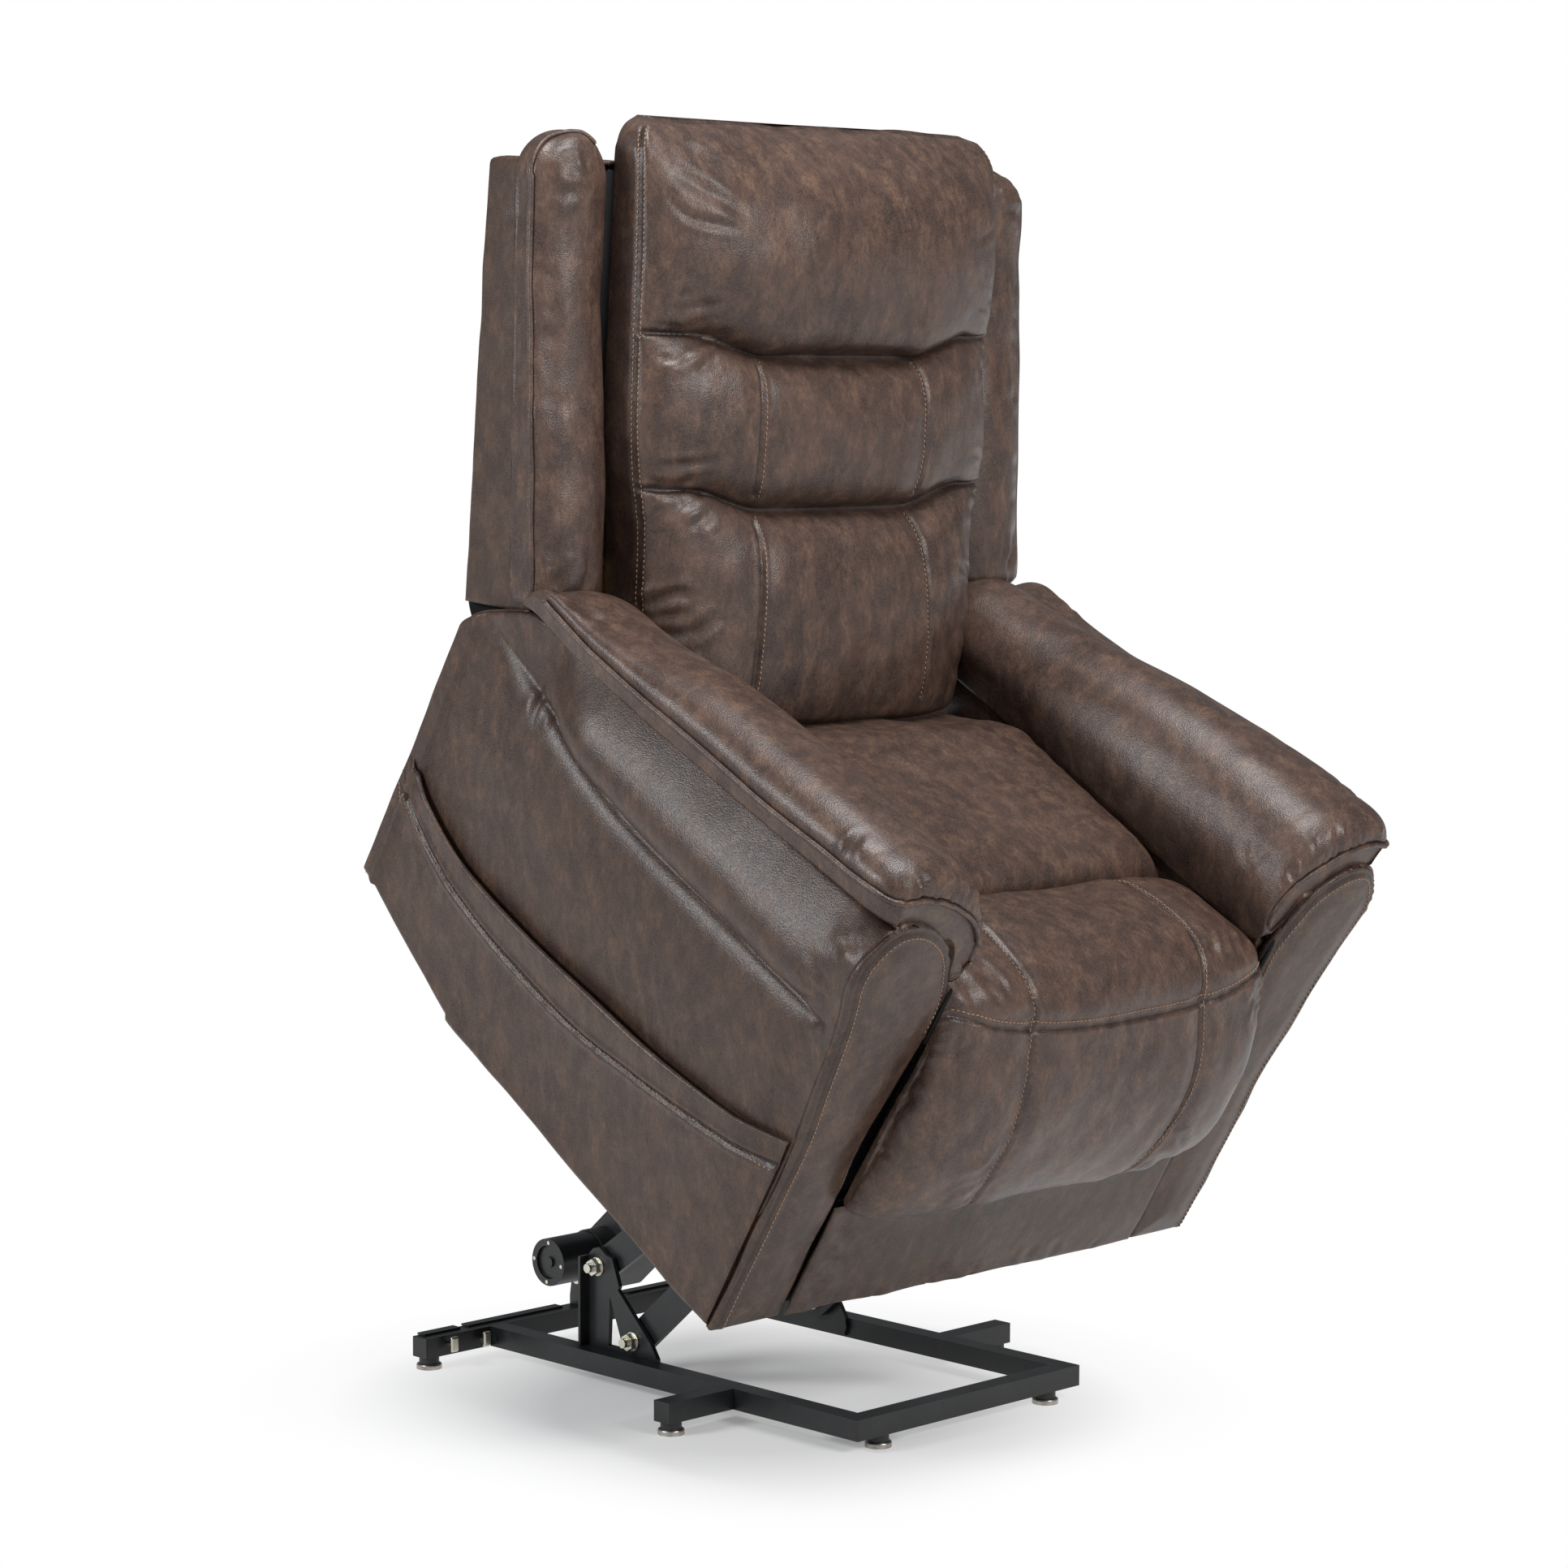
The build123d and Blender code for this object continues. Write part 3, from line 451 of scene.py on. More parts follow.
def leather(name, deep, middle, tan, gloss=0.37):
    """Faux leather: a dark hide with faint streaks rubbed to tan, pebble grain, and painted shade that darkens the
    sewn folds, grooves and wrinkles.
    """
    n = Nodes(name)
    leaning = n.add("ShaderNodeMapping", Vector=n.where, Rotation=(0.6, 0.5, 0.4), Scale=(1.0, 1.0, 0.55))
    leaning = leaning.outputs[0]
    soft = n.noise(9.0, 4.0, 0.55, 0.3)
    streak = n.noise(46.0, 6.0, 0.68, 0.3, leaning)
    fleck = n.noise(250.0, 4.0, 0.7, 0.2, leaning)
    speck = n.noise(620.0, 3.0, 0.7)
    ground = n.mix(n.steps(soft, (0.36, 0.0), (0.64, 1.0)), deep, middle)
    worn = n.steps(streak, (0.42, 0.0), (0.66, 1.0))
    rubbed = n.math("MULTIPLY", worn, n.steps(fleck, (0.36, 0.25), (0.6, 1.0)))
    colour = n.mix(n.math("MULTIPLY", rubbed, 0.8), ground, tan)
    dusk = n.steps(n.noise(44.0, 5.0, 0.62, 0.4, leaning), (0.34, 1.0), (0.54, 0.0))
    colour = n.mix(n.math("MULTIPLY", dusk, 0.42), colour, tuple(0.55 * c for c in deep))
    colour = n.mix(n.steps(speck, (0.42, 0.0), (0.6, 0.6)), colour, tuple(2.1 * c for c in middle))
    # Painted shade: the mesh's 'seam' attribute darkens the colour in sewn grooves, folds and wrinkles.
    seam = n.add("ShaderNodeAttribute")
    seam.attribute_name = "seam"
    dark = n.math("MULTIPLY", seam.outputs["Fac"], 0.8)
    colour = n.mix(dark, colour, tuple(0.2 * c for c in deep))
    cells = n.add("ShaderNodeTexVoronoi", Vector=n.where, Scale=620.0, Randomness=1.0)
    cells.feature = "SMOOTH_F1"
    pebble = n.math("SUBTRACT", 1.0, cells.outputs["Distance"])
    skin = n.bump(n.noise(70.0, 5.0, 0.62), 0.0011, 0.3)
    skin = n.bump(pebble, 0.0005, 0.6, skin)
    shine = n.math("MULTIPLY_ADD", n.noise(90.0, 4.0, 0.6), 0.16, gloss - 0.08)
    return n.finish(Base__Color=colour, Roughness=shine, Normal=skin, Specular__IOR__Level=0.42)


def linear(red, green, blue):
    """A colour given as it is seen on a screen, from 11 to 255."""
    return tuple(((v / 255 + 0.055) / 1.055) ** 2.4 for v in (red, green, blue))


DEEP, MIDDLE, TAN = linear(45, 34, 30), linear(65, 50, 44), linear(120, 93, 75)
hide = leather("hide", DEEP, MIDDLE, TAN)
panel_hide = leather("panel_hide", linear(45, 32, 27), linear(59, 44, 37), linear(106, 80, 62), 0.39)


def coated_steel(name, colour, rough=0.36, peel=1.0):
    """Powder coat: near black, with a fine orange peel and faint dust."""
    n = Nodes(name)
    dust = n.steps(n.noise(30.0, 6.0, 0.65), (0.45, 0.0), (0.8, 0.5))
    tone = n.mix(dust, colour, tuple(2.2 * c + 0.004 for c in colour))
    skin = n.bump(n.noise(520.0, 3.0, 0.5), 0.0004, 0.25 * peel)
    shine = n.math("MULTIPLY_ADD", n.noise(12.0, 4.0, 0.6), 0.2, rough - 0.1)
    return n.finish(Base__Color=tone, Roughness=shine, Normal=skin)


def bare_metal(name, colour, rough, warm=None):
    """Plated or bare metal with fine wear, clouded with a warmer tone where one is given."""
    n = Nodes(name)
    cloud = n.noise(90.0, 5.0, 0.6)
    tone = n.mix(n.steps(cloud, (0.4, 0.0), (0.7, 1.0)), colour, warm or tuple(0.72 * c for c in colour))
    skin = n.bump(n.noise(900.0, 2.0, 0.5, 0.0, n.stretch((1.0, 1.0, 0.1))), 0.0002, 0.3)
    shine = n.math("MULTIPLY_ADD", n.noise(140.0, 4.0, 0.6), 0.22, rough - 0.11)
    return n.finish(Base__Color=tone, Roughness=shine, Normal=skin, Metallic=1.0)


def woven(name, colour):
    """Plain dark lining cloth."""
    n = Nodes(name)
    weave = []
    for way in ("X", "Z"):
        wave = n.add("ShaderNodeTexWave", Vector=n.where, Scale=150.0, Distortion=0.4)
        wave.bands_direction = way
        weave.append(wave.outputs[1])
    height = n.math("MULTIPLY", weave[0], weave[1])
    tone = n.mix(n.noise(60.0, 5.0, 0.6), tuple(0.7 * c for c in colour), tuple(1.4 * c for c in colour))
    cloth = n.bump(height, 0.0005, 0.5)
    return n.finish(Base__Color=tone, Roughness=0.92, Normal=cloth, Specular__IOR__Level=0.1)


def timber(name, light, dark):
    """Plywood: pale veneer with long grain."""
    n = Nodes(name)
    rings = n.noise(14.0, 6.0, 0.65, 1.2, n.stretch((6.0, 0.6, 6.0)))
    tone = n.mix(n.steps(rings, (0.35, 0.0), (0.65, 1.0)), dark, light)
    return n.finish(Base__Color=tone, Roughness=0.72, Normal=n.bump(rings, 0.0006, 0.4))


def thread(name, colour):
    """Twisted sewing thread."""
    n = Nodes(name)
    twist = n.noise(1400.0, 2.0, 0.5)
    tone = n.mix(twist, tuple(0.75 * c for c in colour), tuple(1.2 * c for c in colour))
    return n.finish(Base__Color=tone, Roughness=0.6, Normal=n.bump(twist, 0.0003, 0.5))


lining = woven("lining", (0.012, 0.012, 0.013))
tan_thread = thread("tan_thread", linear(150, 120, 96))
dark_thread = thread("dark_thread", linear(52, 40, 38))
SLOTS = {
    "black_steel": coated_steel("black_steel", (0.011, 0.012, 0.013)),
    "black_plastic": coated_steel("black_plastic", (0.014, 0.014, 0.015), 0.48, 2.0),
    "zinc": bare_metal("zinc", (0.62, 0.62, 0.6), 0.3, (0.7, 0.62, 0.42)),
    "rod_steel": bare_metal("rod_steel", (0.6, 0.6, 0.61), 0.2),
    "spring_steel": bare_metal("spring_steel", (0.22, 0.21, 0.2), 0.45),
    "foot_metal": bare_metal("foot_metal", (0.5, 0.48, 0.44), 0.34, (0.3, 0.26, 0.22)),
    "plywood": timber("plywood", linear(196, 164, 120), linear(160, 122, 80)),
    "lining": lining, "padded_cover": hide, "cover": panel_hide,
}


# ---- arms, in the chair frame; outlines are given as on the left arm, where x is negative

SIDE_FACE = 421.0           # how far out the cover lies on the side's board
PANEL_REAR = 790.5          # where that cover ends
PAD_WELT, PAD_CROWN = 604, 646
OVER_COUNT, UNDER_COUNT = 84, 40

panel_low = track((0, 1), (300, 13), (545, 24), (562, 31), (640, 51), (791, 92))
panel_high = track(
    (0, 573), (300, 562), (600, 553), (664, 546), (700, 533), (758, 495), (776, 478), (786, 464),
    (791, 447))
fold_high = track(
    (0, 428), (56, 428), (361, 427), (444, 431), (525, 443), (585, 459), (632, 470), (800, 500))
mouth_high = track(
    (0, 280), (67, 262), (136, 248), (245, 233), (363, 226), (484, 219), (614, 220), (713, 240), (791, 273))
seam_high = track(
    (0, 244), (48, 230), (150, 207), (258, 188), (371, 172), (497, 170), (617, 181), (708, 201), (793, 238))
welt_high = track(
    (0, 608), (35, 607), (66, 601), (136, 596), (241, 588), (352, 581), (466, 575), (578, 573), (657, 578),
    (700, 574))
crown_high = track(
    (0, 644), (120, 643), (250, 637), (400, 626), (500, 606), (580, 594), (650, 588), (700, 574))

POST_OUTER = (
    (-420, 0), (-420, 140), (-421, 270), (-431, 360), (-442, 446), (-452, 485), (-457, 509), (-454, 532),
    (-442, 551))
POST_TOP = (
    (-428, 567), (-409, 576), (-388, 577), (-366, 571), (-342, 557), (-320, 537), (-302, 505), (-290, 471))
POST_INNER = ((-286, 445), (-289, 401), (-305, 310), (-310, 200), (-309, 143), (-313, 0))
POST_LINE = (
    (-421, 3), (-421, 140), (-421, 270), (-431, 360), (-442, 446), (-457, 509), (-442, 551), (-409, 576),
    (-366, 571), (-320, 537), (-290, 471), (-288, 420))
POST_IN = (
    (1, 0), (1, 0), (1, 0), (1, -0.1), (1, -0.1), (1, 0), (0.7, -0.7), (0, -1), (-0.3, -0.95),
    (-0.65, -0.75), (-0.9, -0.4), (-1, 0))
PAD_TOP = (
    (-444, 604), (-443, 620), (-430, 634), (-402, 644), (-362, 645), (-324, 634), (-292, 606), (-272, 564),
    (-266, 520), (-280, 462))
PAD_UNDER = (
    (-439, 580), (-424, 577), (-395, 578), (-350, 577), (-322, 572), (-309, 545), (-308, 510), (-307, 456))
LIP_TOP = (
    (-441, 607), (-418, 610), (-391, 610), (-356, 602), (-325, 588), (-299, 573), (-280, 555), (-268, 535),
    (-265, 516), (-271, 501))
LIP_UNDER = (
    (-434, 578), (-411, 572), (-388, 568), (-362, 561), (-338, 547), (-317, 529), (-300, 508), (-292, 497),
    (-285, 488))

post_rim = curve([*POST_OUTER, *POST_TOP, *POST_INNER], 2.0)
crest = post_rim[:, 1].argmax()


def mirrored(line, side):
    """A line given for the left arm, on the side asked for."""
    return [(side * -p[0], *p[1:]) for p in line]


def side_swell(y, z):
    """How far the side's cover stands out: the roll, the slack below it and the post's flare in front."""
    fold = fold_high(y)
    share = np.clip((z - fold) / (panel_high(y) - fold), 0, 1)
    roll = 38 * np.sin(math.pi * share ** 0.62) ** 0.95 * ease(650, 500, y)
    below = np.clip(fold - z, 0, 500)
    lower = 17 * (1 - np.exp(-below / 15)) * (1 - 0.8 * ease(60, 330, below)) * ease(780, 600, y)
    rear = 5 * ease(470, 660, y) * share
    flare = -np.interp(z, post_rim[:crest + 1, 1], post_rim[:crest + 1, 0]) - SIDE_FACE
    join = ease(88, 14, y)
    return (roll + lower + rear) * (1 - join) + flare * join


def side_panel(side, name, node):
    """The arm's outer cover from the front post's seam to the rear, with a padded roll in its upper part."""
    ys = np.r_[np.linspace(12, 560, 150), np.linspace(563, 770, 60)]
    ys = np.r_[ys, 790 - 19 * np.linspace(1, 0, 16)[1:] ** 2]
    share = np.linspace(0, 1, 150)
    y = columns(ys, len(share))
    low, high = panel_low(ys)[:, None], panel_high(ys)[:, None]
    z = low + (high - low) * share
    edge = np.minimum(np.minimum(z - low, high - z), np.minimum(y - 4, PANEL_REAR - y))
    out = SIDE_FACE + side_swell(y, z) - rounding(edge, 7)
    form = Form(name, chair, np.stack([side * out, y, z], -1), closed=False)
    fold = [(side * 425, y, fold_high(y)) for y in (628, 585, 525, 444, 361, 250, 150, 70, 26)]
    form.groove(fold, 3.5, 3.0, 0.08, 0.8, 0.0)
    form.uneven(3, (170, 1.1), (60, 0.3))
    form.folds(side,
               (11, 6, [(430, 40, 455), (430, 14, 540)], 60, (0, 1, 0.1), 7, 1.5, 0.25),
               (12, 4, [(424, 22, 436), (424, 40, 418)], 30, (0, 1, -0.3), 5, 1.1, 0.3, 0.9),
               (13, 3, [(424, 632, 478), (424, 606, 462)], 44, (0, -0.5, -1), 6, 2.2, 0.3, 0.9))
    form.build(panel_hide, "chair", "cover", node, thick=5)


def pocket_piece():
    """Magazine pocket on the left side: a second layer whose folded hem stands off the panel."""
    ys = np.linspace(14, 785, 210)
    share = np.linspace(0, 1, 96)
    y = columns(ys, len(share))
    low, high = panel_low(ys)[:, None] + 2, mouth_high(ys)[:, None]
    z = low + (high - low) * share
    seam = seam_high(y)
    hem = ease(0, 1, (z - seam) / (high - seam))
    edge = np.minimum(np.minimum(z - low, y - 12), 789 - y)
    middle = np.sin(math.pi * np.clip((y - 14) / 773, 0, 1)) ** 0.5
    stand = (2.0 + 7.0 * middle) * ease(low + 30, high - 20, z) + 2.5 * hem
    out = SIDE_FACE + side_swell(y, z) * 0.9 + 5.5 + stand * ease(787, 720, y) - 7 * ease(765, 786, y)
    out -= rounding(edge, 5) + rounding(high - z, 4)
    form = Form("side_pocket_cover", chair, np.stack([-out, y, z], -1), closed=False)
    places = (788, 700, 617, 497, 371, 258, 150, 50)
    sewn = [(-430, y, seam_high(y)) for y in (*places, 15)]
    form.groove(sewn, 3.4, 3.2, 0, 0.95, 0.5)
    form.uneven(5, (190, 1.4), (55, 0.35))
    form.wrinkles(14, 10, sewn, 42, (0, 0.15, -1), 8, 1.1, 0.4)
    form.build(panel_hide, "chair", "cover", ("side_pocket",), thick=3)
    dashes = [(-430, y, seam_high(y) - 7.5) for y in (*places, 18)]
    stitches("side_pocket_stitching", form, [dashes], tan_thread, "chair")


def post_bounds(z):
    """The front post's outer and inner edge at each height."""
    outer, inner = post_rim[:crest + 1], post_rim[crest:][::-1]
    return np.interp(z, outer[:, 1], outer[:, 0]), np.interp(z, inner[:, 1], inner[:, 0])


def front_post(side, name, node):
    """Front of the arm: a lightly padded face that wraps round to the side, flaring into a rounded head."""
    top = post_rim[:, 1].max()
    zs = np.r_[np.linspace(0.5, 500, 130), top - (top - 500) * np.linspace(1, 0, 40)[1:] ** 1.8]
    outer, inner = post_bounds(np.minimum(zs, top - 0.05))
    share = np.linspace(0, 1, 44)
    x = outer[:, None] + (inner - outer)[:, None] * share
    z = columns(zs, len(share))
    flat = np.stack([x, z], -1).reshape(-1, 2)
    edge = np.min(np.linalg.norm(flat[:, None] - post_rim[None, ::2], axis=2), axis=1).reshape(x.shape)
    edge = np.minimum(edge, z)
    depth = 8 - rounding(edge, 8) + 6 * ease(0, 45, edge)
    front = np.stack([side * -x, 11 - depth, z], -1)
    rear = np.stack([side * -x, np.full_like(x, 14.5), z], -1)[:, ::-1]
    form = Form(name, chair, np.concatenate([front, rear], 1))

    def inset(gap):
        return mirrored([(x + gap * a, -1, z + gap * b) for (x, z), (a, b) in zip(POST_LINE, POST_IN)], side)

    form.groove(inset(5.5), 3.2, 2.0, 0, 0.85, 0.5)
    form.uneven(8, (120, 0.8))
    form.build(panel_hide, "chair", "cover", node)
    stitches(name + "_stitching", form, [inset(12)], tan_thread, "chair")


def pad_settled(side, y):
    """How far the pad's outer edge has sunk at y: the right pad has settled outwards at its rear."""
    return 24 * ease(120, 480, y) if side > 0 else 0


def raised(under, over, share):
    """The lower line with the upper line's count of points, moved towards it by a share."""
    same = resampled(under, len(over))
    return same + (over - same) * share


def away(line):
    """Unit directions square to a line in its plane, to its left."""
    ahead = np.gradient(line, axis=0)
    ahead /= np.linalg.norm(ahead, axis=1)[:, None]
    return np.column_stack([-ahead[:, 1], ahead[:, 0]])


def arm_pad(side, name, node):
    """Pad over the arm: piping and a sewn strip on the outer side, a lip that turns down over the front."""
    over, under = evenly(PAD_TOP, OVER_COUNT), evenly(PAD_UNDER, UNDER_COUNT)
    lip_over, lip_under = evenly(LIP_TOP, OVER_COUNT), evenly(LIP_UNDER, UNDER_COUNT)
    crown = ease(0, 16, np.arange(OVER_COUNT))
    inner = np.clip((over[:, 1] - 488) / (640 - 488), 0, 1)
    front, rear = 66, 640

    def section(y):
        """The pad's upper and lower line at y."""
        settled = pad_settled(side, y) * ease(-330, -410, over[:, 0])
        welt, rise = welt_high(y) - PAD_WELT, crown_high(y) - PAD_CROWN
        high = over[:, 1] + welt * (1 - crown) + rise * crown * inner - settled
        low = under[:, 1] + np.linspace(1, 0, UNDER_COUNT) * (welt - settled[0])
        return np.column_stack([over[:, 0], high]), np.column_stack([under[:, 0], low])

    rows = [(raised(lip_under, lip_over, 0.1), lip_under, 30)]
    for share in np.linspace(0, 1, 7):
        rows.append((raised(lip_under, lip_over, share), lip_under, 13 - 2 * share))
    top, low = section(front)
    for turn in np.linspace(0, math.pi / 2, 26)[1:]:
        c, s = 1 - math.cos(turn), math.sin(turn)
        flare = 5 * math.sin(2 * turn)
        rows.append((lip_over + (top - lip_over) * s + away(lip_over) * flare,
                     lip_under + (low - lip_under) * c, 11 + 56 * c - flare))
    for y in np.linspace(front + 6, rear, 120):
        rows.append((*section(y), y))
    for turn in np.linspace(0, math.pi / 2, 14)[1:]:
        s, c = math.sin(turn), math.cos(turn)
        top, low = section(rear + 52 * s)
        rows.append((raised(low, top, 0.12 + 0.88 * c ** 0.8), low, rear + 50 * s))
    grid = []
    for top, low, y in rows:
        strip = low[0] + (top[0] - low[0]) * np.linspace(0, 1, 9)[1:-1, None]
        ring = np.vstack([top, low[::-1], strip])
        turned = 20 * (1 - math.sqrt(1 - min(max((54 - y) / 46, 0), 0.99) ** 2))
        ring[:, 0] += turned * ease(-396, -442, ring[:, 0])
        grid.append(np.column_stack([side * -ring[:, 0], np.full(len(ring), y), ring[:, 1]]))
    form = Form(name, chair, np.array(grid))
    welt = [(side * 443.5, y, welt_high(y) - pad_settled(side, y)) for y in range(655, 60, -25)]
    lip = [(side * -x, 10.0, z) for x, z in evenly(LIP_TOP, 26)]
    piping = [*welt, (side * 443, 42, 605), (side * 439, 26, 606), (side * 430, 14, 608), *lip[4:]]
    on_top = np.tile(np.arange(grid[0].shape[0]) < OVER_COUNT, len(grid))
    form.free = np.where(on_top, 1.0, 0.12)
    form.uneven(21, (170, 0.9), (40, 0.2))
    gathers = [(x, y + 5, z + 4) for x, y, z in lip[3:20]]
    form.wrinkles(23, 11, gathers, 34, (0, 0.75, 0.8), 3.6, 2.2, 0.12, 1.0)
    form.folds(side,
               (24, 3, [(440, 104, 608), (440, 66, 610)], 40, (-0.5, 0.2, 1), 5, 1.5, 0.2, 0.9),
               (25, 9, [(400, 120, 645), (400, 560, 600)], 90, (-1, 0.6, 0), 13, 0.9, 0.4),
               (26, 4, [(290, 44, 600), (272, 60, 540)], 60, (0, 1, 0.2), 8, 1.0, 0.3),
               (27, 6, [(435, 600, 585), (435, 640, 590)], 50, (-1, -0.3, 0.4), 7, 1.8, 0.3))
    line, up = form.snap(curve(piping))
    form.free[:] = 1
    form.groove(piping, 3.0, 1.6, 0, 0.8, 0.3)
    form.groove([(side * 442, 58, 604), (side * 440, 58, 592), (side * 438, 58, 582)], 2.5, 1.2, 0, 0.8, 0.4)
    form.build(hide, "chair", "padded_cover", node)
    tube(name + "_piping", chair, line + up * 2.1, 3.6, hide, "chair")


# ---- seat and leg rest, in the chair frame

SEAT_TOP = (
    (172, 430), (176, 452), (186, 470), (204, 481), (240, 489), (320, 493), (430, 492), (470, 488),
    (520, 465), (606, 424))
FRONT_LINE = (
    (172, 452), (168, 466), (154, 478), (120, 487), (80, 491), (40, 489), (10, 481), (-12, 467), (-26, 449),
    (-33, 430), (-43, 408), (-59, 378), (-70, 340), (-75, 300), (-75, 262), (-69, 228), (-58, 201),
    (-38, 182), (-8, 176))
EDGE_LINE = (
    (168, 440), (160, 446), (140, 450), (110, 453), (76, 454), (44, 452), (20, 446), (6, 436), (0, 426),
    (-4, 416), (-8, 400), (-14, 370), (-18, 335), (-19, 298), (-18, 262), (-15, 230), (-11, 205), (-6, 190),
    (-1, 183))
REAR_LINE = (
    (168, 436), (150, 434), (120, 433), (90, 433), (60, 433), (38, 433), (24, 432), (14, 426), (8, 418),
    (4, 408), (1, 392), (0, 360), (0, 330), (0, 296), (0, 262), (0, 232), (0, 208), (0, 194), (0, 186))
ACROSS = (
    (-279, -2, 452), (-200, -26, 440), (-100, -32, 431), (0, -33, 429), (100, -32, 431), (200, -26, 440),
    (279, -2, 452))
DOWN = (
    (152, 168, 462), (156, 140, 478), (158, 90, 486), (158, 40, 484), (154, 0, 472), (149, -30, 432),
    (152, -50, 395), (155, -66, 340), (154, -70, 290), (148, -64, 240), (136, -44, 198), (128, -22, 182))


def seat_cushion():
    """The seat behind the leg rest pad, crowned, with its front edge rolled into the fold."""
    ys = np.linspace(172, 606, 110)
    share = np.linspace(-1, 1, 121)
    x = np.tile(282.5 * share, (len(ys), 1))
    y = columns(ys, len(share))
    drop = 26 * np.abs(share) ** 14 + 8 * share ** 2
    front = np.stack([x, y, track(*SEAT_TOP)(ys)[:, None] - drop], -1)
    under = np.stack([x, y, np.full_like(x, 396.0)], -1)[:, ::-1][:, ::6]
    form = Form("seat_cushion_cover", chair, np.concatenate([front, under], 1))
    form.uneven(31, (120, 1.6), (45, 0.4), where=form.co[:, 2] > 410)
    beside = [(262, 230, 470), (262, 500, 460)]
    for side in (-1, 1):
        form.folds(side, (33 + side, 6, beside, 70, (-1, -0.5, 0.1), 9, 1.3, 0.3))
    form.build(hide, "chair", "padded_cover", ("seat_cushion",))


def long_seam(side, aside=0):
    """One of the pad's two long seams, which run to the left towards the pad's lower edge."""
    return [(side * (x + aside) - 14 * ease(330, 190, z), y, z) for x, y, z in DOWN]


def pad_edge(z):
    """Where the leg pad's side ends and its front begins at each height."""
    return np.interp(z, [180, 400, 450], [-10, -6, 4])


def leg_pad():
    """The long pad from the seat's fold over the front and down the leg rest."""
    count = 190
    front, edge, rear = (evenly_matched(line, count) for line in (FRONT_LINE, EDGE_LINE, REAR_LINE))
    width = track((0, 281), (0.3, 284), (0.5, 285), (0.58, 288), (0.75, 299), (0.94, 303), (1, 292))
    wide = width(np.linspace(0, 1, count))
    share = np.linspace(-1, 1, 171)
    crown = np.clip(1 - np.abs(share) ** 8, 0, 1) ** 0.5
    middle = 1 - 0.10 * share ** 2
    rows = []
    for k in range(count):
        yz = edge[k] + (front[k] - edge[k]) * (crown * middle)[:, None]
        face = np.column_stack([wide[k] * share, yz])
        side = edge[k] + (rear[k] - edge[k]) * np.linspace(0, 1, 12)[1:, None]
        right = np.column_stack([np.full(len(side), wide[k]), side])
        level = wide[k] * np.linspace(1, -1, 20)[1:-1]
        behind = np.column_stack([level, np.repeat(rear[k][None], len(level), 0)])
        rows.append(np.vstack([face, right, behind, right[::-1] * (-1, 1, 1)]))
    form = Form("leg_pad_cover", chair, np.array(rows))
    form.co[:, 2] -= 7 * (1 - form.co[:, 0] / 290) * ease(330, 186, form.co[:, 2])
    soft = (form.co[:, 1] < pad_edge(form.co[:, 2])) | (form.co[:, 2] > 445)
    form.uneven(41, (130, 1.8), (50, 0.4), where=soft)
    form.groove(ACROSS, 9, 3.0, 0, 0.0, 0.2)
    form.groove([(x, y, z - 5) for x, y, z in ACROSS], 2.6, 2.0, 0, 0.85, 0.5)
    for side in (-1, 1):
        form.groove(long_seam(side), 14, 3.0, 0.02, 0.0, 0.3)
        form.groove(long_seam(side), 3.0, 2.2, 0.02, 0.8, 0.6)
        edge, fold = [(286, -8, 418), (298, -14, 250)], [(262, 46, 484), (178, 46, 487)]
        form.folds(side,
                   (43 + side, 13, edge, 50, (-1, -0.25, -0.1), 5, 2.2, 0.25, 0.8),
                   (47 + side, 5, fold, 86, (-0.28, -1, -0.2), 6, 1.5, 0.08, 0.8),
                   (53 + side, 4, [(164, 20, 486), (160, -24, 448)], 40, (1, -0.5, -0.1), 8, 1.2, 0.3),
                   (57 + side, 6, [(262, -30, 446), (282, -22, 446)], 60, (-0.2, -0.3, -1), 7, 1.8, 0.25),
                   (61 + side, 4, [(158, -60, 290), (146, -56, 215)], 74, (1, 0, -0.75), 8, 2.2, 0.15, 0.8))
    rim = [(x, -20, 184) for x in np.linspace(-280, 280, 12)]
    form.wrinkles(67, 10, rim, 36, (0, -0.5, 1), 9, 1.2, 0.4)
    made = form.build(hide, None, "padded_cover", ("chaise_pad", "legrest_pad"))
    start, end = chair.out([(0, 90, 500), (0, -42, 404)])
    tuple(start)
    tuple(end)
    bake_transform(made)
    above = [(x, y + 1, z + 3.5) for x, y, z in ACROSS]
    rows = [above, long_seam(-1, 5), long_seam(1, 5)]
    sewn = stitches("leg_pad_stitching", form, rows, tan_thread, None)
    tuple(start)
    tuple(end)
    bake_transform(sewn)


def skirt():
    """Cover of the board below the leg rest."""
    zs = np.linspace(3, 167, 44)
    x = np.tile(309 * np.linspace(-1, 1, 150), (len(zs), 1))
    z = columns(zs, 150)
    edge = np.minimum(np.minimum(z - 2.5, 167.5 - z), 309.5 - np.abs(x))
    front = np.stack([x, rounding(edge, 6) - 1.5, z], -1)
    rear = np.stack([x, np.full_like(x, 14.0), z], -1)[:, ::-1][:, ::5]
    form = Form("front_skirt_cover", chair, np.concatenate([front, rear], 1))
    form.uneven(71, (110, 1.2), where=form.co[:, 1] < 10)
    form.wrinkles(72, 9, [(-300, 0, 20), (-292, 0, 150)], 50, (1, 0, -0.3), 8, 1.8, 0.5)
    form.wrinkles(73, 8, [(-250, 0, 6), (250, 0, 6)], 34, (0.2, 0, 1), 8, 1.3, 0.5)
    form.build(panel_hide, "chair", "cover", ("front_skirt",))


# ---- back, in the back frame: x, rearwards and up the back, which is called u

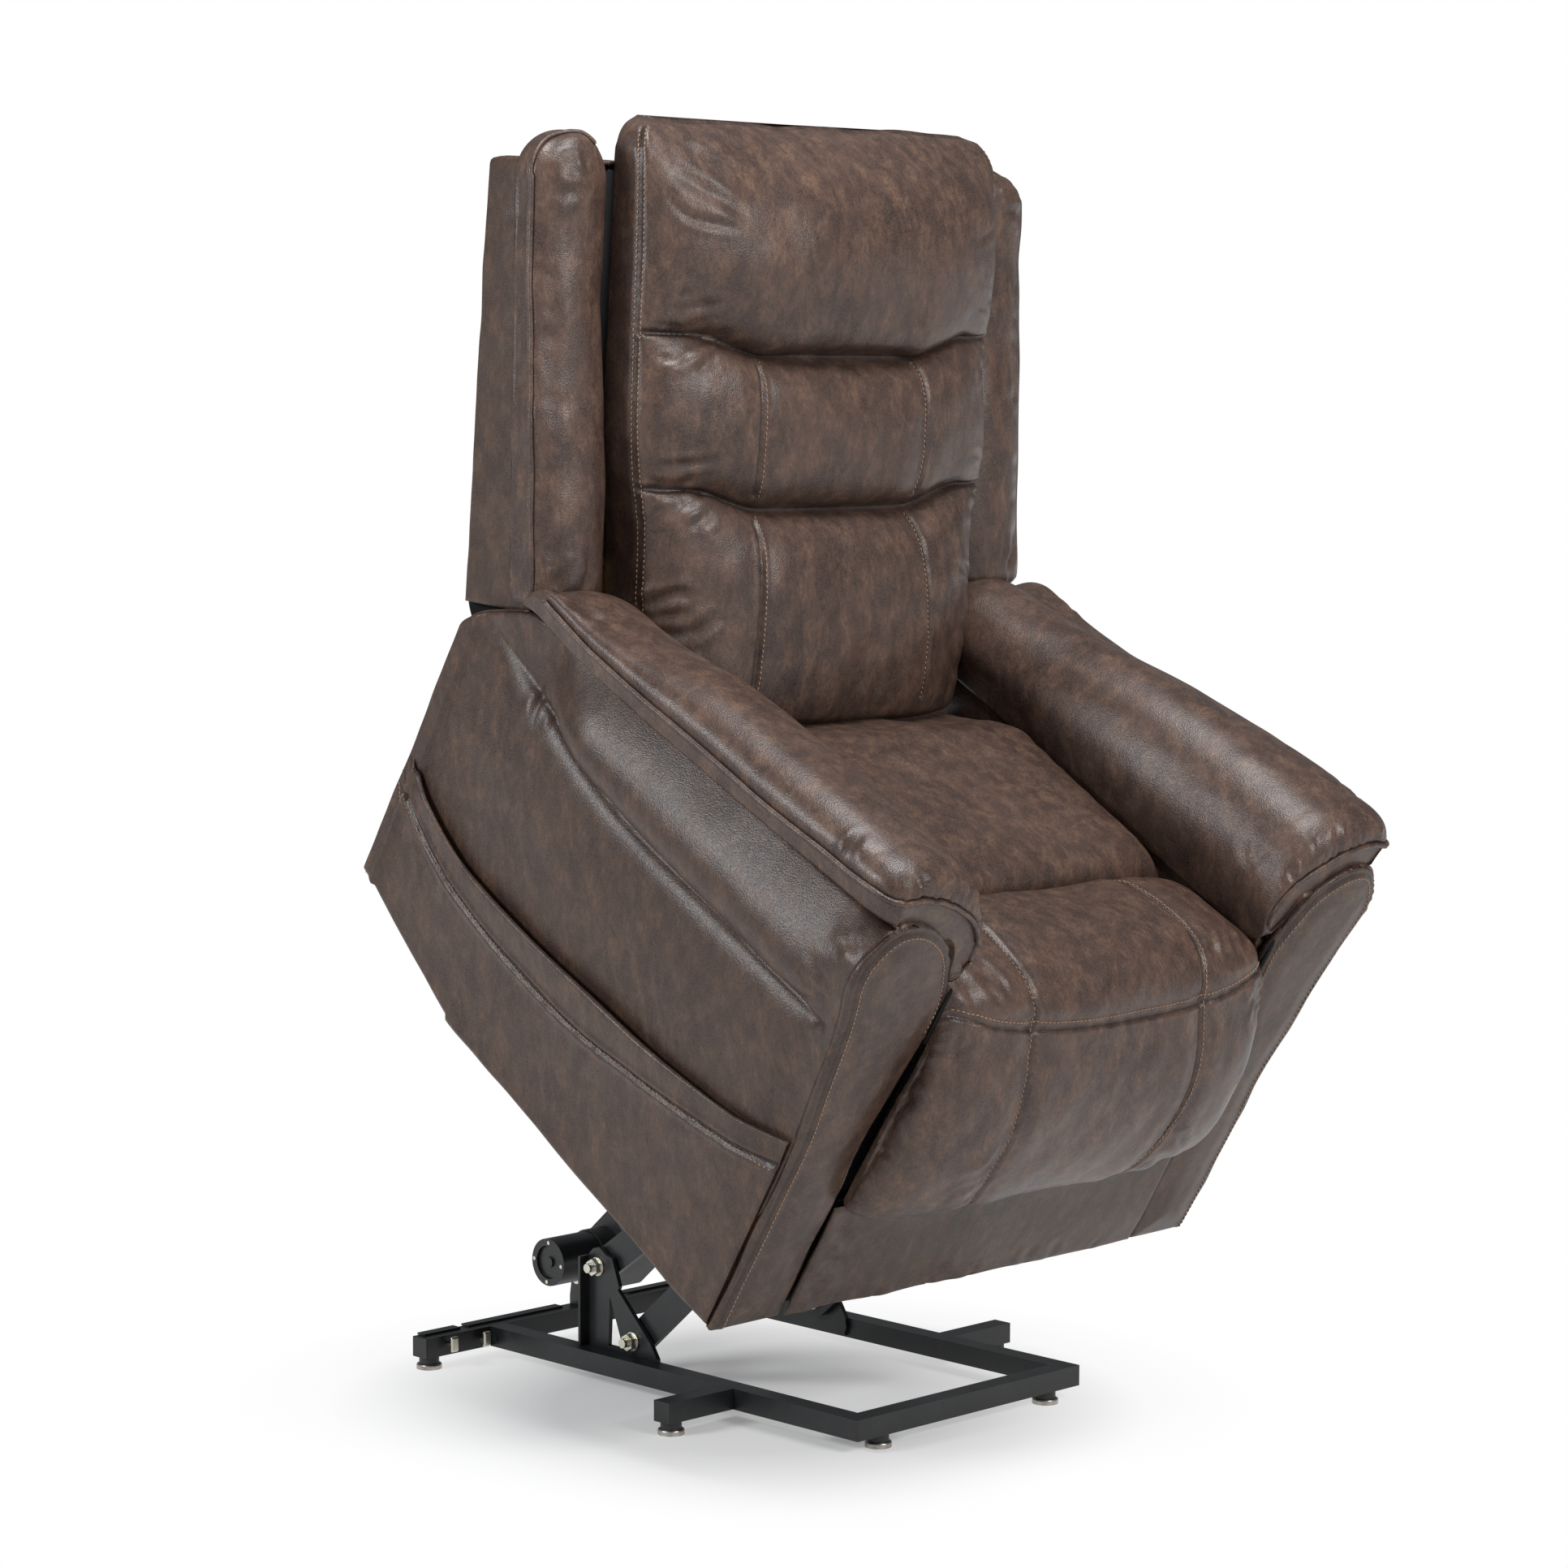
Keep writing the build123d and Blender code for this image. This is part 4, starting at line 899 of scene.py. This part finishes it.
FOLDS, FOLD_CLIMB = (243, 429), 25
back_crown = track(
    (-26, -100), (-8, -122), (40, -134), (120, -132), (180, -122), (212, -109), (232, -92), (243, -74),
    (252, -88), (264, -99), (285, -106), (320, -109), (365, -106), (400, -96), (419, -80), (429, -64),
    (438, -83), (450, -95), (476, -104), (540, -109), (600, -99), (645, -77), (680, -46), (699, -20),
    (708, 2))
back_edge = track((-26, -42), (243, -42), (429, -34), (640, -26), (690, -14), (708, 6))
back_half = track(
    (-26, 262), (-8, 274), (60, 278), (200, 284), (243, 290), (300, 299), (429, 301), (640, 303),
    (676, 300), (696, 290), (708, 270))
UPPER_SEAM = (
    (140, -70, 424), (143, -92, 395), (144, -100, 360), (144, -102, 325), (143, -98, 290), (139, -80, 256))
LOWER_SEAM = (
    (138, -76, 238), (142, -104, 208), (144, -114, 175), (146, -120, 130), (148, -124, 85), (150, -122, 40),
    (152, -112, 2))

WING_MIDDLE, WING_HALF, WING_TURN, WING_TOP = -365.5, 58.5, 626.0, 59.0
wing_pipe = track(
    (120, 2), (134, -3), (170, -2), (229, 3), (267, 6), (362, 13), (457, 22), (551, 31), (620, 34),
    (684, 36))
wing_dome = track((120, -16), (200, -17), (300, -9), (400, 1), (500, 10), (600, 15), (684, 14))
wing_rear = track((120, 36), (640, 66), (684, 68))


def fold_rise(x):
    """How far the folds across the back climb towards its sides."""
    return FOLD_CLIMB * ease(122, 238, np.abs(x))


def back_face(x, u):
    """How far forward the back cushion's front lies at x and u."""
    near = 1 - ease(150, 240, np.abs(u - 340))
    front = back_crown(u - fold_rise(x) * near)
    spread = np.clip(1 - (np.abs(x) / back_half(u)) ** 2.6, 0, 1) ** 0.64
    return back_edge(u) + (front - back_edge(u)) * spread


def back_cushion():
    """One cover with three pillows, parted by deep folds that climb at the sides."""
    us = np.linspace(-26, 708, 290)
    share = np.sin(np.linspace(-math.pi / 2, math.pi / 2, 231)) * 0.35 + np.linspace(-1, 1, 231) * 0.65
    half, edge = back_half(us), back_edge(us)
    x, u = half[:, None] * share, columns(us, len(share))
    face = np.stack([x, back_face(x, u), u], -1)
    run = np.linspace(0, 1, 13)[1:]
    rear_at = 27.0
    deep = edge[:, None] + (rear_at - edge[:, None]) * run
    bow = 3 * np.sin(math.pi * run)
    right = np.stack([half[:, None] + bow, deep, columns(us, len(run))], -1)
    left = right[:, ::-1] * (-1, 1, 1)
    level = half[:, None] * np.linspace(1, -1, 26)[1:-1]
    rear = np.stack([level, np.full_like(level, rear_at), columns(us, level.shape[1])], -1)
    form = Form("back_cushion_cover", back, np.concatenate([face, right, rear, left], 1))
    form.uneven(81, (150, 2.2), (52, 0.6), where=form.co[:, 1] < 20)
    form.onto = lambda p: np.column_stack([p[:, 0], back_face(p[:, 0], p[:, 2]), p[:, 2]])

    def seams_down(side, aside=0):
        """The two seams down one side of the pillows."""
        for points in (UPPER_SEAM, LOWER_SEAM):
            yield form.onto(np.array([(side * (x - aside) - 7, n, u) for x, n, u in points]))

    xs = np.linspace(-299, 299, 61)
    for fold in FOLDS:
        line = np.column_stack([xs, np.zeros(len(xs)), fold + fold_rise(xs)])
        form.groove(form.onto(line), 3.4, 4.0, 0, 0.9, 0.3)
    for side in (-1, 1):
        for line in seams_down(side):
            form.groove(line, 15, 2.2, 0.03, 0.0, 0.2)
            form.groove(line, 3.0, 2.2, 0.03, 0.75, 0.6)
        slack = 1.0 if side < 0 else 0.55
        depth = 1.7 * slack
        for level in (fold + FOLD_CLIMB for fold in FOLDS):
            above = [(294, 0, level + 8), (290, 0, level + 34)]
            below = [(296, 0, level - 16), (296, 0, level - 60)]
            form.folds(side,
                       (84 + side, 2, above, 84, (-1, 0, 0.16), 5, depth, 0.08, 0.9),
                       (90 + side, 2, below, 96, (-1, 0, 0.3), 6, depth, 0.08, 0.9))
        outer = [(294, 0, 60), (294, 0, 600)]
        form.folds(side, (93 + side, 4, outer, 60, (-1, 0, -0.12), 6, 1.1 * slack, 0.12, 0.8))
        for fold in FOLDS:
            under = [(190, 0, fold + 8), (236, 0, fold + 14)]
            form.folds(side, (106 + side, 2, under, 58, (0.5, 0, -1), 6, 1.5 * slack, 0.1, 0.8))
        corner, foot = [(294, 0, 610), (250, 0, 697)], [(268, 0, 22), (294, 0, 130)]
        form.folds(side,
                   (96 + side, 4, corner, 170, (-1, 0, -0.5), 7, 2.2 * slack, 0.05, 0.8),
                   (99 + side, 4, foot, 96, (-1, 0, 0.45), 6, 2.7 * slack, 0.08, 1.0))
    form.wrinkles(102, 7, [(-200, -8, 702), (250, -8, 702)], 54, (0.5, 0, -1), 8, 0.8, 0.2)
    form.wrinkles(103, 8, [(-230, -100, -10), (230, -100, -10)], 40, (0, 0, 1), 9, 1.4, 0.3)
    seams = []
    for side in (-1, 1):
        levels = np.linspace(0, 694, 26)
        rim = [(side * (back_half(u) + 0.5), back_edge(u) + 3, u) for u in levels]
        form.groove(rim, 3.4, 2.2, 0, 0.85, 0.5)
        for shift in (-5.5, 5.5):
            seams.append([(x, n + shift, u) for x, n, u in rim])
    top = [(x, -3, 707) for x in np.linspace(-262, 262, 22)]
    form.groove(top, 3.0, 1.8, 0, 0.8, 0.4)
    form.build(hide, "back", "padded_cover", ("back_cushion",))
    seams += [*seams_down(-1, 6), *seams_down(1, 6)]
    stitches("back_cushion_stitching", form, seams, tan_thread, "back", 0.6)


def wing_rows(top):
    """The wing's sections (x, rearwards) up the back, drawn in towards its foot and over its round top."""
    levels = [(u, 1 - rounding(u - 126, 16) / 32) for u in np.linspace(127, WING_TURN, 150)]
    for turn in np.linspace(0, math.pi / 2, 30)[1:]:
        levels.append((WING_TURN + top * math.sin(turn), max(math.cos(turn), 0.03)))
    for u, size in levels:
        p, d, r = wing_pipe(u), wing_dome(u), wing_rear(u)
        line = [(-424, r), (-424.5, (r + p) / 2), (-424, p), (-418, p - 7), (-405, d + 2), (-388, d - 6),
                (-366, d - 9), (-342, d - 6), (-321, d + 5), (-308.5, d + 24), (-307, r)]
        front = evenly(line, 72)
        spread = size ** (0.9 if u > WING_TURN else 0.3)
        deep = r - 6 * (1 - size)
        lean = 12 * (1 - size) if u > WING_TURN else 0
        front = np.column_stack([WING_MIDDLE + lean + (front[:, 0] - WING_MIDDLE) * spread,
                                 deep + (front[:, 1] - r) * (0.45 + 0.55 * size)])
        across = np.linspace(front[-1, 0], front[0, 0], 12)[1:-1]
        behind = np.column_stack([across, np.full(len(across), front[0, 1])])
        yield np.vstack([front, behind]), u


def back_wing(side, name, node):
    """Side bolster of the back: a sewn strip along its outer side, piping, a domed front and a round top."""
    top = WING_TOP if side < 0 else WING_TOP - 22
    rows = [np.column_stack([ring * (-side, 1), np.full(len(ring), u)]) for ring, u in wing_rows(top)]
    form = Form(name, back, np.array(rows))
    welt = [(side * 424, wing_pipe(u), u) for u in np.linspace(134, WING_TURN, 22)]
    for turn in np.linspace(0.15, 2.1, 10):
        x = WING_MIDDLE + 12 * (1 - abs(math.cos(turn))) - (WING_HALF - 3) * math.cos(turn)
        n = 36 + 8 * math.sin(turn) - 26 * ease(0.9, 2.4, turn)
        welt.append((-side * x, n, WING_TURN + (top - 1) * math.sin(turn)))
    form.free = np.where(form.co[:, 1] < 60, 1.0, 0.0)
    form.uneven(111, (110, 1.5), (45, 0.35))
    form.folds(side,
               (113, 5, [(414, 14, 660), (416, 14, 590)], 58, (-1, -0.2, -0.15), 6, 1.9, 0.15, 0.9),
               (114, 5, [(396, 6, 668), (350, 2, 666)], 40, (side * 0.1, -0.5, -1), 6, 1.0, 0.2, 0.7),
               (116, 8, [(420, -4, 160), (420, 24, 560)], 46, (-1, -0.3, 0.1), 8, 1.0, 0.3),
               (115, 4, [(404, -12, 150), (350, -12, 140)], 50, (0, 0, 1), 7, 1.8, 0.3, 0.8))
    line, up = form.snap(curve(welt))
    form.groove(welt, 3.0, 1.6, 0, 0.85, 0.3)
    form.build(hide, "back", "padded_cover", node)
    tube(name + "_piping", back, line + up, 3.0, hide, "back")


def back_shell():
    """Outside cover of the back: two sides, a rear panel and a top, sewn at rounded corners."""
    half, deep, low, high, corner = 387.0, 168.0, 112.0, 650.0, 18.0
    turn = deep - corner
    right = [(half, n) for n in np.linspace(0, turn, 34)]
    for a in np.linspace(0, math.pi / 2, 9)[1:-1]:
        right.append((half - corner + corner * math.cos(a), turn + corner * math.sin(a)))
    across = [(x, deep) for x in np.linspace(half - corner, -half + corner, 130)]
    outline = np.array(right + across + [(-x, n) for x, n in reversed(right)])
    rows = []
    for u in np.r_[np.linspace(low, 600, 100), np.linspace(604, high, 16)]:
        line = outline.copy()
        front = wing_rear(u) - 4
        line[:, 1] += np.where(line[:, 1] < turn, front * (1 - line[:, 1] / turn), 0)
        line *= 1 - rounding(high - u, 12) * 10 / 12 / np.array([half, deep])
        rows.append(np.column_stack([line, np.full(len(line), u)]))
    rim = rows[-1]
    for share in np.linspace(0, 0.97, 14)[1:]:
        level = rim.copy()
        level[:, 0] += (np.clip(rim[:, 0], -296, 296) - rim[:, 0]) * share
        level[:, 1] += (30 - rim[:, 1]) * share
        rows.append(level)
    form = Form("back_shell_cover", back, np.array(rows), closed=False)
    belly = np.sin(math.pi * np.clip((form.co[:, 2] - low) / (high - low), 0, 1))
    belly *= np.clip(1 - (form.co[:, 0] / 380) ** 4, 0, 1)
    form.co[:, 1] += np.where(form.co[:, 1] > 160, 4 * belly, 0)
    form.uneven(121, (160, 1.2), (50, 0.35))
    sewn = []
    for side in (-1, 1):
        seam = [(side * (half - 4), deep - 4, u) for u in np.linspace(low + 4, high - 12, 16)]
        form.groove(seam, 3.2, 2.0, 0, 0.85, 0.5)
        sewn.append([(side * (half - 16), deep + 1, u) for u in np.linspace(low + 4, high - 14, 16)])
        form.folds(side, (123 + side, 8, [(387, 110, 130), (387, 120, 630)], 44, (0, -1, 0.2), 8, 1.3, 0.5))
    xs = np.linspace(-356, 356, 20)
    form.groove([(x, deep - 3, high - 5) for x in xs], 3.2, 2.0, 0, 0.85, 0.5)
    sewn.append([(x, deep + 1, high - 16) for x in xs])
    form.wrinkles(126, 14, [(-350, 158, 640), (350, 158, 640)], 46, (0, 0, -1), 9, 1.4, 0.4)
    form.build(panel_hide, "back", "cover", ("back_shell",), thick=5)
    stitches("back_shell_stitching", form, sewn, dark_thread, "back")


# ---- inner arms and linings: what shows in the gaps, where dark cloth strips also stand in for the shade (painted shade)

INNER_ARM = (
    (20, 466), (44, 480), (90, 486), (360, 486), (640, 480), (652, 470), (650, 400), (640, 384), (360, 380),
    (90, 380), (20, 390))
INNER_LINING = (
    (28, 16), (30, 200), (34, 340), (66, 376), (300, 378), (560, 378), (740, 377), (776, 360), (778, 200),
    (770, 104), (562, 30), (300, 18))
REAR_LINING = (
    (700, 400), (690, 460), (700, 540), (730, 560), (766, 540), (812, 522), (848, 484), (842, 452),
    (800, 424), (740, 400))
INNER_REAR = (
    (640, 386), (646, 540), (664, 552), (700, 540), (756, 502), (778, 470), (780, 440), (700, 400))
ARM_REAR = (
    (789, 91), (792, 96), (792, 250), (792, 440), (788, 463), (777, 480), (758, 497), (720, 523),
    (697, 537))
ARM_HEAD = (
    (-422, 500), (-422, 560), (-420, 573), (-410, 580), (-385, 582), (-358, 580), (-334, 577), (-314, 575),
    (-304, 560), (-298, 534), (-293, 500))
# Outlines of the black strips that paint the shade in the slits at the hinge, beside the wing and beside the
# front.
HINGE_GAP = ((291, 404), (291, 474), (288, 482), (284.6, 478), (284.6, 440), (284.6, 404))
WING_GAP = ((301, 62), (301, 640), (312, 642), (320, 634), (324, 620), (324, 62))
FRONT_GAP = ((313, 6), (313, 420), (290, 426), (266, 424), (262, 330), (262, 6))


def slab(name, outline, near, far, material, body, slot, round_off):
    """A thin upholstered board: its outline (y, z) between two x, with rounded edges."""
    low, high = sorted((near, far))
    line = curve([*outline, outline[0]], 6.0)[:-1]
    middle = line.mean(0)
    rows = []
    for share in (0.0, 0.5, 0.8, 0.97, 1.0):
        rows.append((middle + (line - middle) * share * 0.985, high))
    ahead = np.roll(line, -1, 0) - np.roll(line, 1, 0)
    out = np.column_stack([ahead[:, 1], -ahead[:, 0]]) / np.linalg.norm(ahead, axis=1)[:, None]
    if np.sum(out * (line - middle)) < 0:
        out = -out
    for turn in np.linspace(0, math.pi, 9)[1:-1]:
        x = low + (high - low) * (0.5 + 0.5 * math.cos(turn))
        rows.append((line - out * round_off * (1 - math.sin(turn)), x))
    for share in (1.0, 0.97, 0.5, 0.0):
        rows.append((middle + (line - middle) * share * 0.985, low))
    grid = np.array([np.column_stack([np.full(len(flat), x), flat]) for flat, x in rows])
    return Form(name, chair, grid, caps=False).build(material, body, slot)


def shade_strip(name, place, outline, thick, body):
    """A narrow strip of black cloth across a gap, facing forwards: painted shade, a dark sheet where the gap shows
    only shade.
    """
    p = np.array(outline)
    mid = p.mean(0)
    core, deeper = mid + (p - mid) * 0.02, (0, thick, 0)
    Form(name, place, np.array([core, p, p + deeper, core + deeper])).build(lining, body, "lining")


def arm_rear(side, name):
    """The cover wrapped round the arm's rear, from its lower corner to the slope under the back."""
    profile = curve(ARM_REAR, 8.0)
    share = np.linspace(0, 1, 40)
    x = np.tile(314 + 104 * share, (len(profile), 1))
    edge = np.minimum(x - 313.5, 418.5 - x)
    y = profile[:, :1] - rounding(edge, 4) * (profile[:, 1:] < 470)
    form = Form(name, chair, np.stack([side * x, y, columns(profile[:, 1], 40)], -1), closed=False)
    form.uneven(131, (90, 0.8))
    form.build(panel_hide, "chair", "cover", thick=3)


def arm_head(side, name):
    """The leather over the arm's end, between the post's head and the pad."""
    top = curve(mirrored(ARM_HEAD, side), 4.0)
    ring = np.vstack([top, top[-1] + (top[0] - top[-1]) * np.linspace(0, 1, 30)[1:-1, None]])
    inward = ease(-406, -374, -np.abs(ring[:, 0]))
    rows = []
    for y, drop, slope, wide in ((7, 5, 30, 422), (9, 1, 30, 422), (13, 0, 30, 417), (60, 1, 0, 414),
                                 (110, 4, 0, 410), (112, 10, 0, 410)):
        x = np.clip(ring[:, 0], -wide, wide)
        rows.append(np.column_stack([x, np.full(len(ring), y), ring[:, 1] - drop - slope * inward]))
    Form(name, chair, np.array(rows)).build(panel_hide, "chair", "cover")


def linings(side, word):
    """Leather on the arm's inner side and ends, black cloth below and behind it, and black strips in the gaps
    beside it that paint the shade there.
    """
    for name, outline, near, far, material, slot, round_off in (
            ("inner_arm", INNER_ARM, 285.5, 311, panel_hide, "cover", 4.0),
            ("inner_lining", INNER_LINING, 308.5, 311.5, lining, "lining", 1.0),
            ("inner_rear_lining", INNER_REAR, 307.5, 311.5, lining, "lining", 1.5)):
        slab(f"{name}_{word}", outline, side * near, side * far, material, "chair", slot, round_off)
    gusset = slab(f"rear_lining_{word}", REAR_LINING, side * 364, side * 371, lining, None, "lining", 2.0)
    start, end = chair.out([(0, 742, 400), (0, 764, 500)])
    tuple(start)
    tuple(end)
    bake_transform(gusset)
    arm_rear(side, f"arm_rear_{word}")
    # Painted shade: black strips across the slits at the hinge, beside the wing and beside the front, where only
    # shade shows.
    for name, place, outline, y, thick, body in (
            ("hinge", chair, HINGE_GAP, 2.0, 1.5, "chair"),
            ("wing_gap_shade", back, WING_GAP, 24.0, 3.0, "back"),
            ("front_gap_shade", chair, FRONT_GAP, 21.0, 2.0, "chair")):
        shade_strip(f"{name}_lining_{word}", place, [(side * x, y, z) for x, z in outline], thick, body)
    arm_head(side, f"arm_head_{word}")


# ---- the pieces: the frame's own nodes keep their shape, the soft ones are built over them

slot_of = {part["node"]: part["material_slot"] for part in frame["record"]["subparts"]}
for node, thing in nodes.items():
    thing.data.materials.clear()
    thing.data.materials.append(SLOTS[slot_of[node]])

SIDES = ((-1, "left"), (1, "right"))
for side, word in SIDES:
    side_panel(side, f"side_cover_{word}", (f"side_panel_{word}", f"arm_bolster_{word}"))
    front_post(side, f"post_cover_{word}", (f"front_post_{word}",))
    arm_pad(side, f"arm_cushion_{word}", (f"arm_pad_{word}",))
    back_wing(side, f"wing_cushion_{word}", (f"back_wing_{word}",))
pocket_piece()
seat_cushion()
leg_pad()
skirt()
back_cushion()
back_shell()
for side, word in SIDES:
    linings(side, word)


# ---- room, light and camera

FLOOR_HALF = 40.0


def floor():
    """A pale floor that turns to plain white a little way from the chair, through a white glow seen by the camera
    and in reflections; a quarter of that glow is mixed in even right under the chair, which paints light into the
    floor's shadow there.
    """
    mesh = bpy.data.meshes.new("floor")
    corners = [(x * FLOOR_HALF, y * FLOOR_HALF, 0) for x, y in ((-1, -1), (1, -1), (1, 1), (-1, 1))]
    mesh.from_pydata(corners, [], [(0, 1, 2, 3)])
    n = Nodes("pale_floor")
    grey = n.mix(n.noise(2.0, 2.0, 0.5), (0.86, 0.855, 0.85), (0.88, 0.875, 0.87))
    n.finish(Base__Color=grey, Roughness=0.85)
    # Painted light: within about 0.2 m of a point just left of the chair's middle the glow is mixed in at about a
    # quarter, lightening the floor's shadow; it rises to full white by about 0.7 m.
    spread = n.add("ShaderNodeVectorMath", _0=n.where, _1=(-0.14, 0.08, 0))
    spread.operation = "DISTANCE"
    far = n.steps(n.math("DIVIDE", spread.outputs["Value"], 3.2), (0.07, 0.24), (0.16, 0.92), (0.21, 1.0))
    white = n.add("ShaderNodeEmission", Color=(1, 1, 1, 1), Strength=1.0)
    rays = n.add("ShaderNodeLightPath").outputs
    seen = n.math("MAXIMUM", rays["Is Camera Ray"], rays["Is Glossy Ray"])
    share = n.math("MULTIPLY", far, n.math("MAXIMUM", seen, rays["Is Transmission Ray"]))
    blend = n.add("ShaderNodeMixShader", _0=share, _1=n.shader.outputs[0], _2=white.outputs[0])
    n.tree.links.new(blend.outputs[0], n.tree.nodes["Material Output"].inputs[0])
    thing = bpy.data.objects.new("floor", mesh)
    mesh.materials.append(n.material)
    bpy.context.scene.collection.objects.link(thing)


def surroundings():
    """Soft light from all round, shown as plain white to the camera."""
    world = bpy.data.worlds.new("studio")
    bpy.context.scene.world = world
    world.use_nodes = True
    tree = world.node_tree
    soft = tree.nodes["Background"]
    soft.inputs["Color"].default_value = (0.93, 0.96, 1.0, 1)
    soft.inputs["Strength"].default_value = 0.2
    bright = tree.nodes.new("ShaderNodeBackground")
    bright.inputs["Color"].default_value = (1, 1, 1, 1)
    bright.inputs["Strength"].default_value = 1.0
    path = tree.nodes.new("ShaderNodeLightPath").outputs
    either = tree.nodes.new("ShaderNodeMath")
    either.operation = "MAXIMUM"
    choose = tree.nodes.new("ShaderNodeMixShader")
    for output, entry in ((path["Is Camera Ray"], either.inputs[0]),
                          (path["Is Transmission Ray"], either.inputs[1]),
                          (either.outputs[0], choose.inputs[0]),
                          (soft.outputs[0], choose.inputs[1]),
                          (bright.outputs[0], choose.inputs[2]),
                          (choose.outputs[0], tree.nodes["World Output"].inputs[0])):
        tree.links.new(output, entry)


def lamp(name, at, towards, size, power, colour):
    data = bpy.data.lights.new(name, "AREA")
    data.shape, data.size, data.size_y = "RECTANGLE", *size
    data.energy, data.color = power, colour
    thing = bpy.data.objects.new(name, data)
    bpy.context.scene.collection.objects.link(thing)
    thing.location = at
    thing.rotation_euler = (Vector(towards) - Vector(at)).to_track_quat("-Z", "Y").to_euler()


def camera():
    """The photograph's view: from the chair's front left, a little above the seat, through a long lens."""
    eye = (-3.5549, -3.4620, 1.2614)
    yaw, pitch, roll = math.radians(44.375), math.radians(-5.62), 0.00278
    ahead = Vector((math.sin(yaw) * math.cos(pitch), math.cos(yaw) * math.cos(pitch), math.sin(pitch)))
    level = Vector((math.cos(yaw), -math.sin(yaw), 0))
    high = level.cross(ahead)
    right = level * math.cos(roll) + high * math.sin(roll)
    up = high * math.cos(roll) - level * math.sin(roll)
    data = bpy.data.cameras.new("camera")
    data.sensor_width, data.lens = 36.0, 92.45
    data.shift_x, data.shift_y = 0.0124, 0.0004
    data.clip_start, data.clip_end = 0.1, 100
    thing = bpy.data.objects.new("camera", data)
    bpy.context.scene.collection.objects.link(thing)
    turn = Matrix((right, up, -ahead)).transposed().to_4x4()
    thing.matrix_world = Matrix.Translation(eye) @ turn
    bpy.context.scene.camera = thing


floor()
surroundings()
centre = (0.0, 0.0, 0.8)
lamp("key", (0.2, -3.6, 2.6), (0.0, -0.2, 0.6), (1.2, 1.0), 80, (1.0, 0.99, 0.98))
lamp("side", (-3.5, 1.0, 2.2), centre, (1.1, 0.9), 78, (0.93, 0.97, 1.0))
lamp("top", (-0.4, -0.8, 3.7), centre, (1.3, 1.2), 84, (0.97, 0.98, 1.0))
camera()
bpy.context.scene.view_settings.view_transform = "Standard"
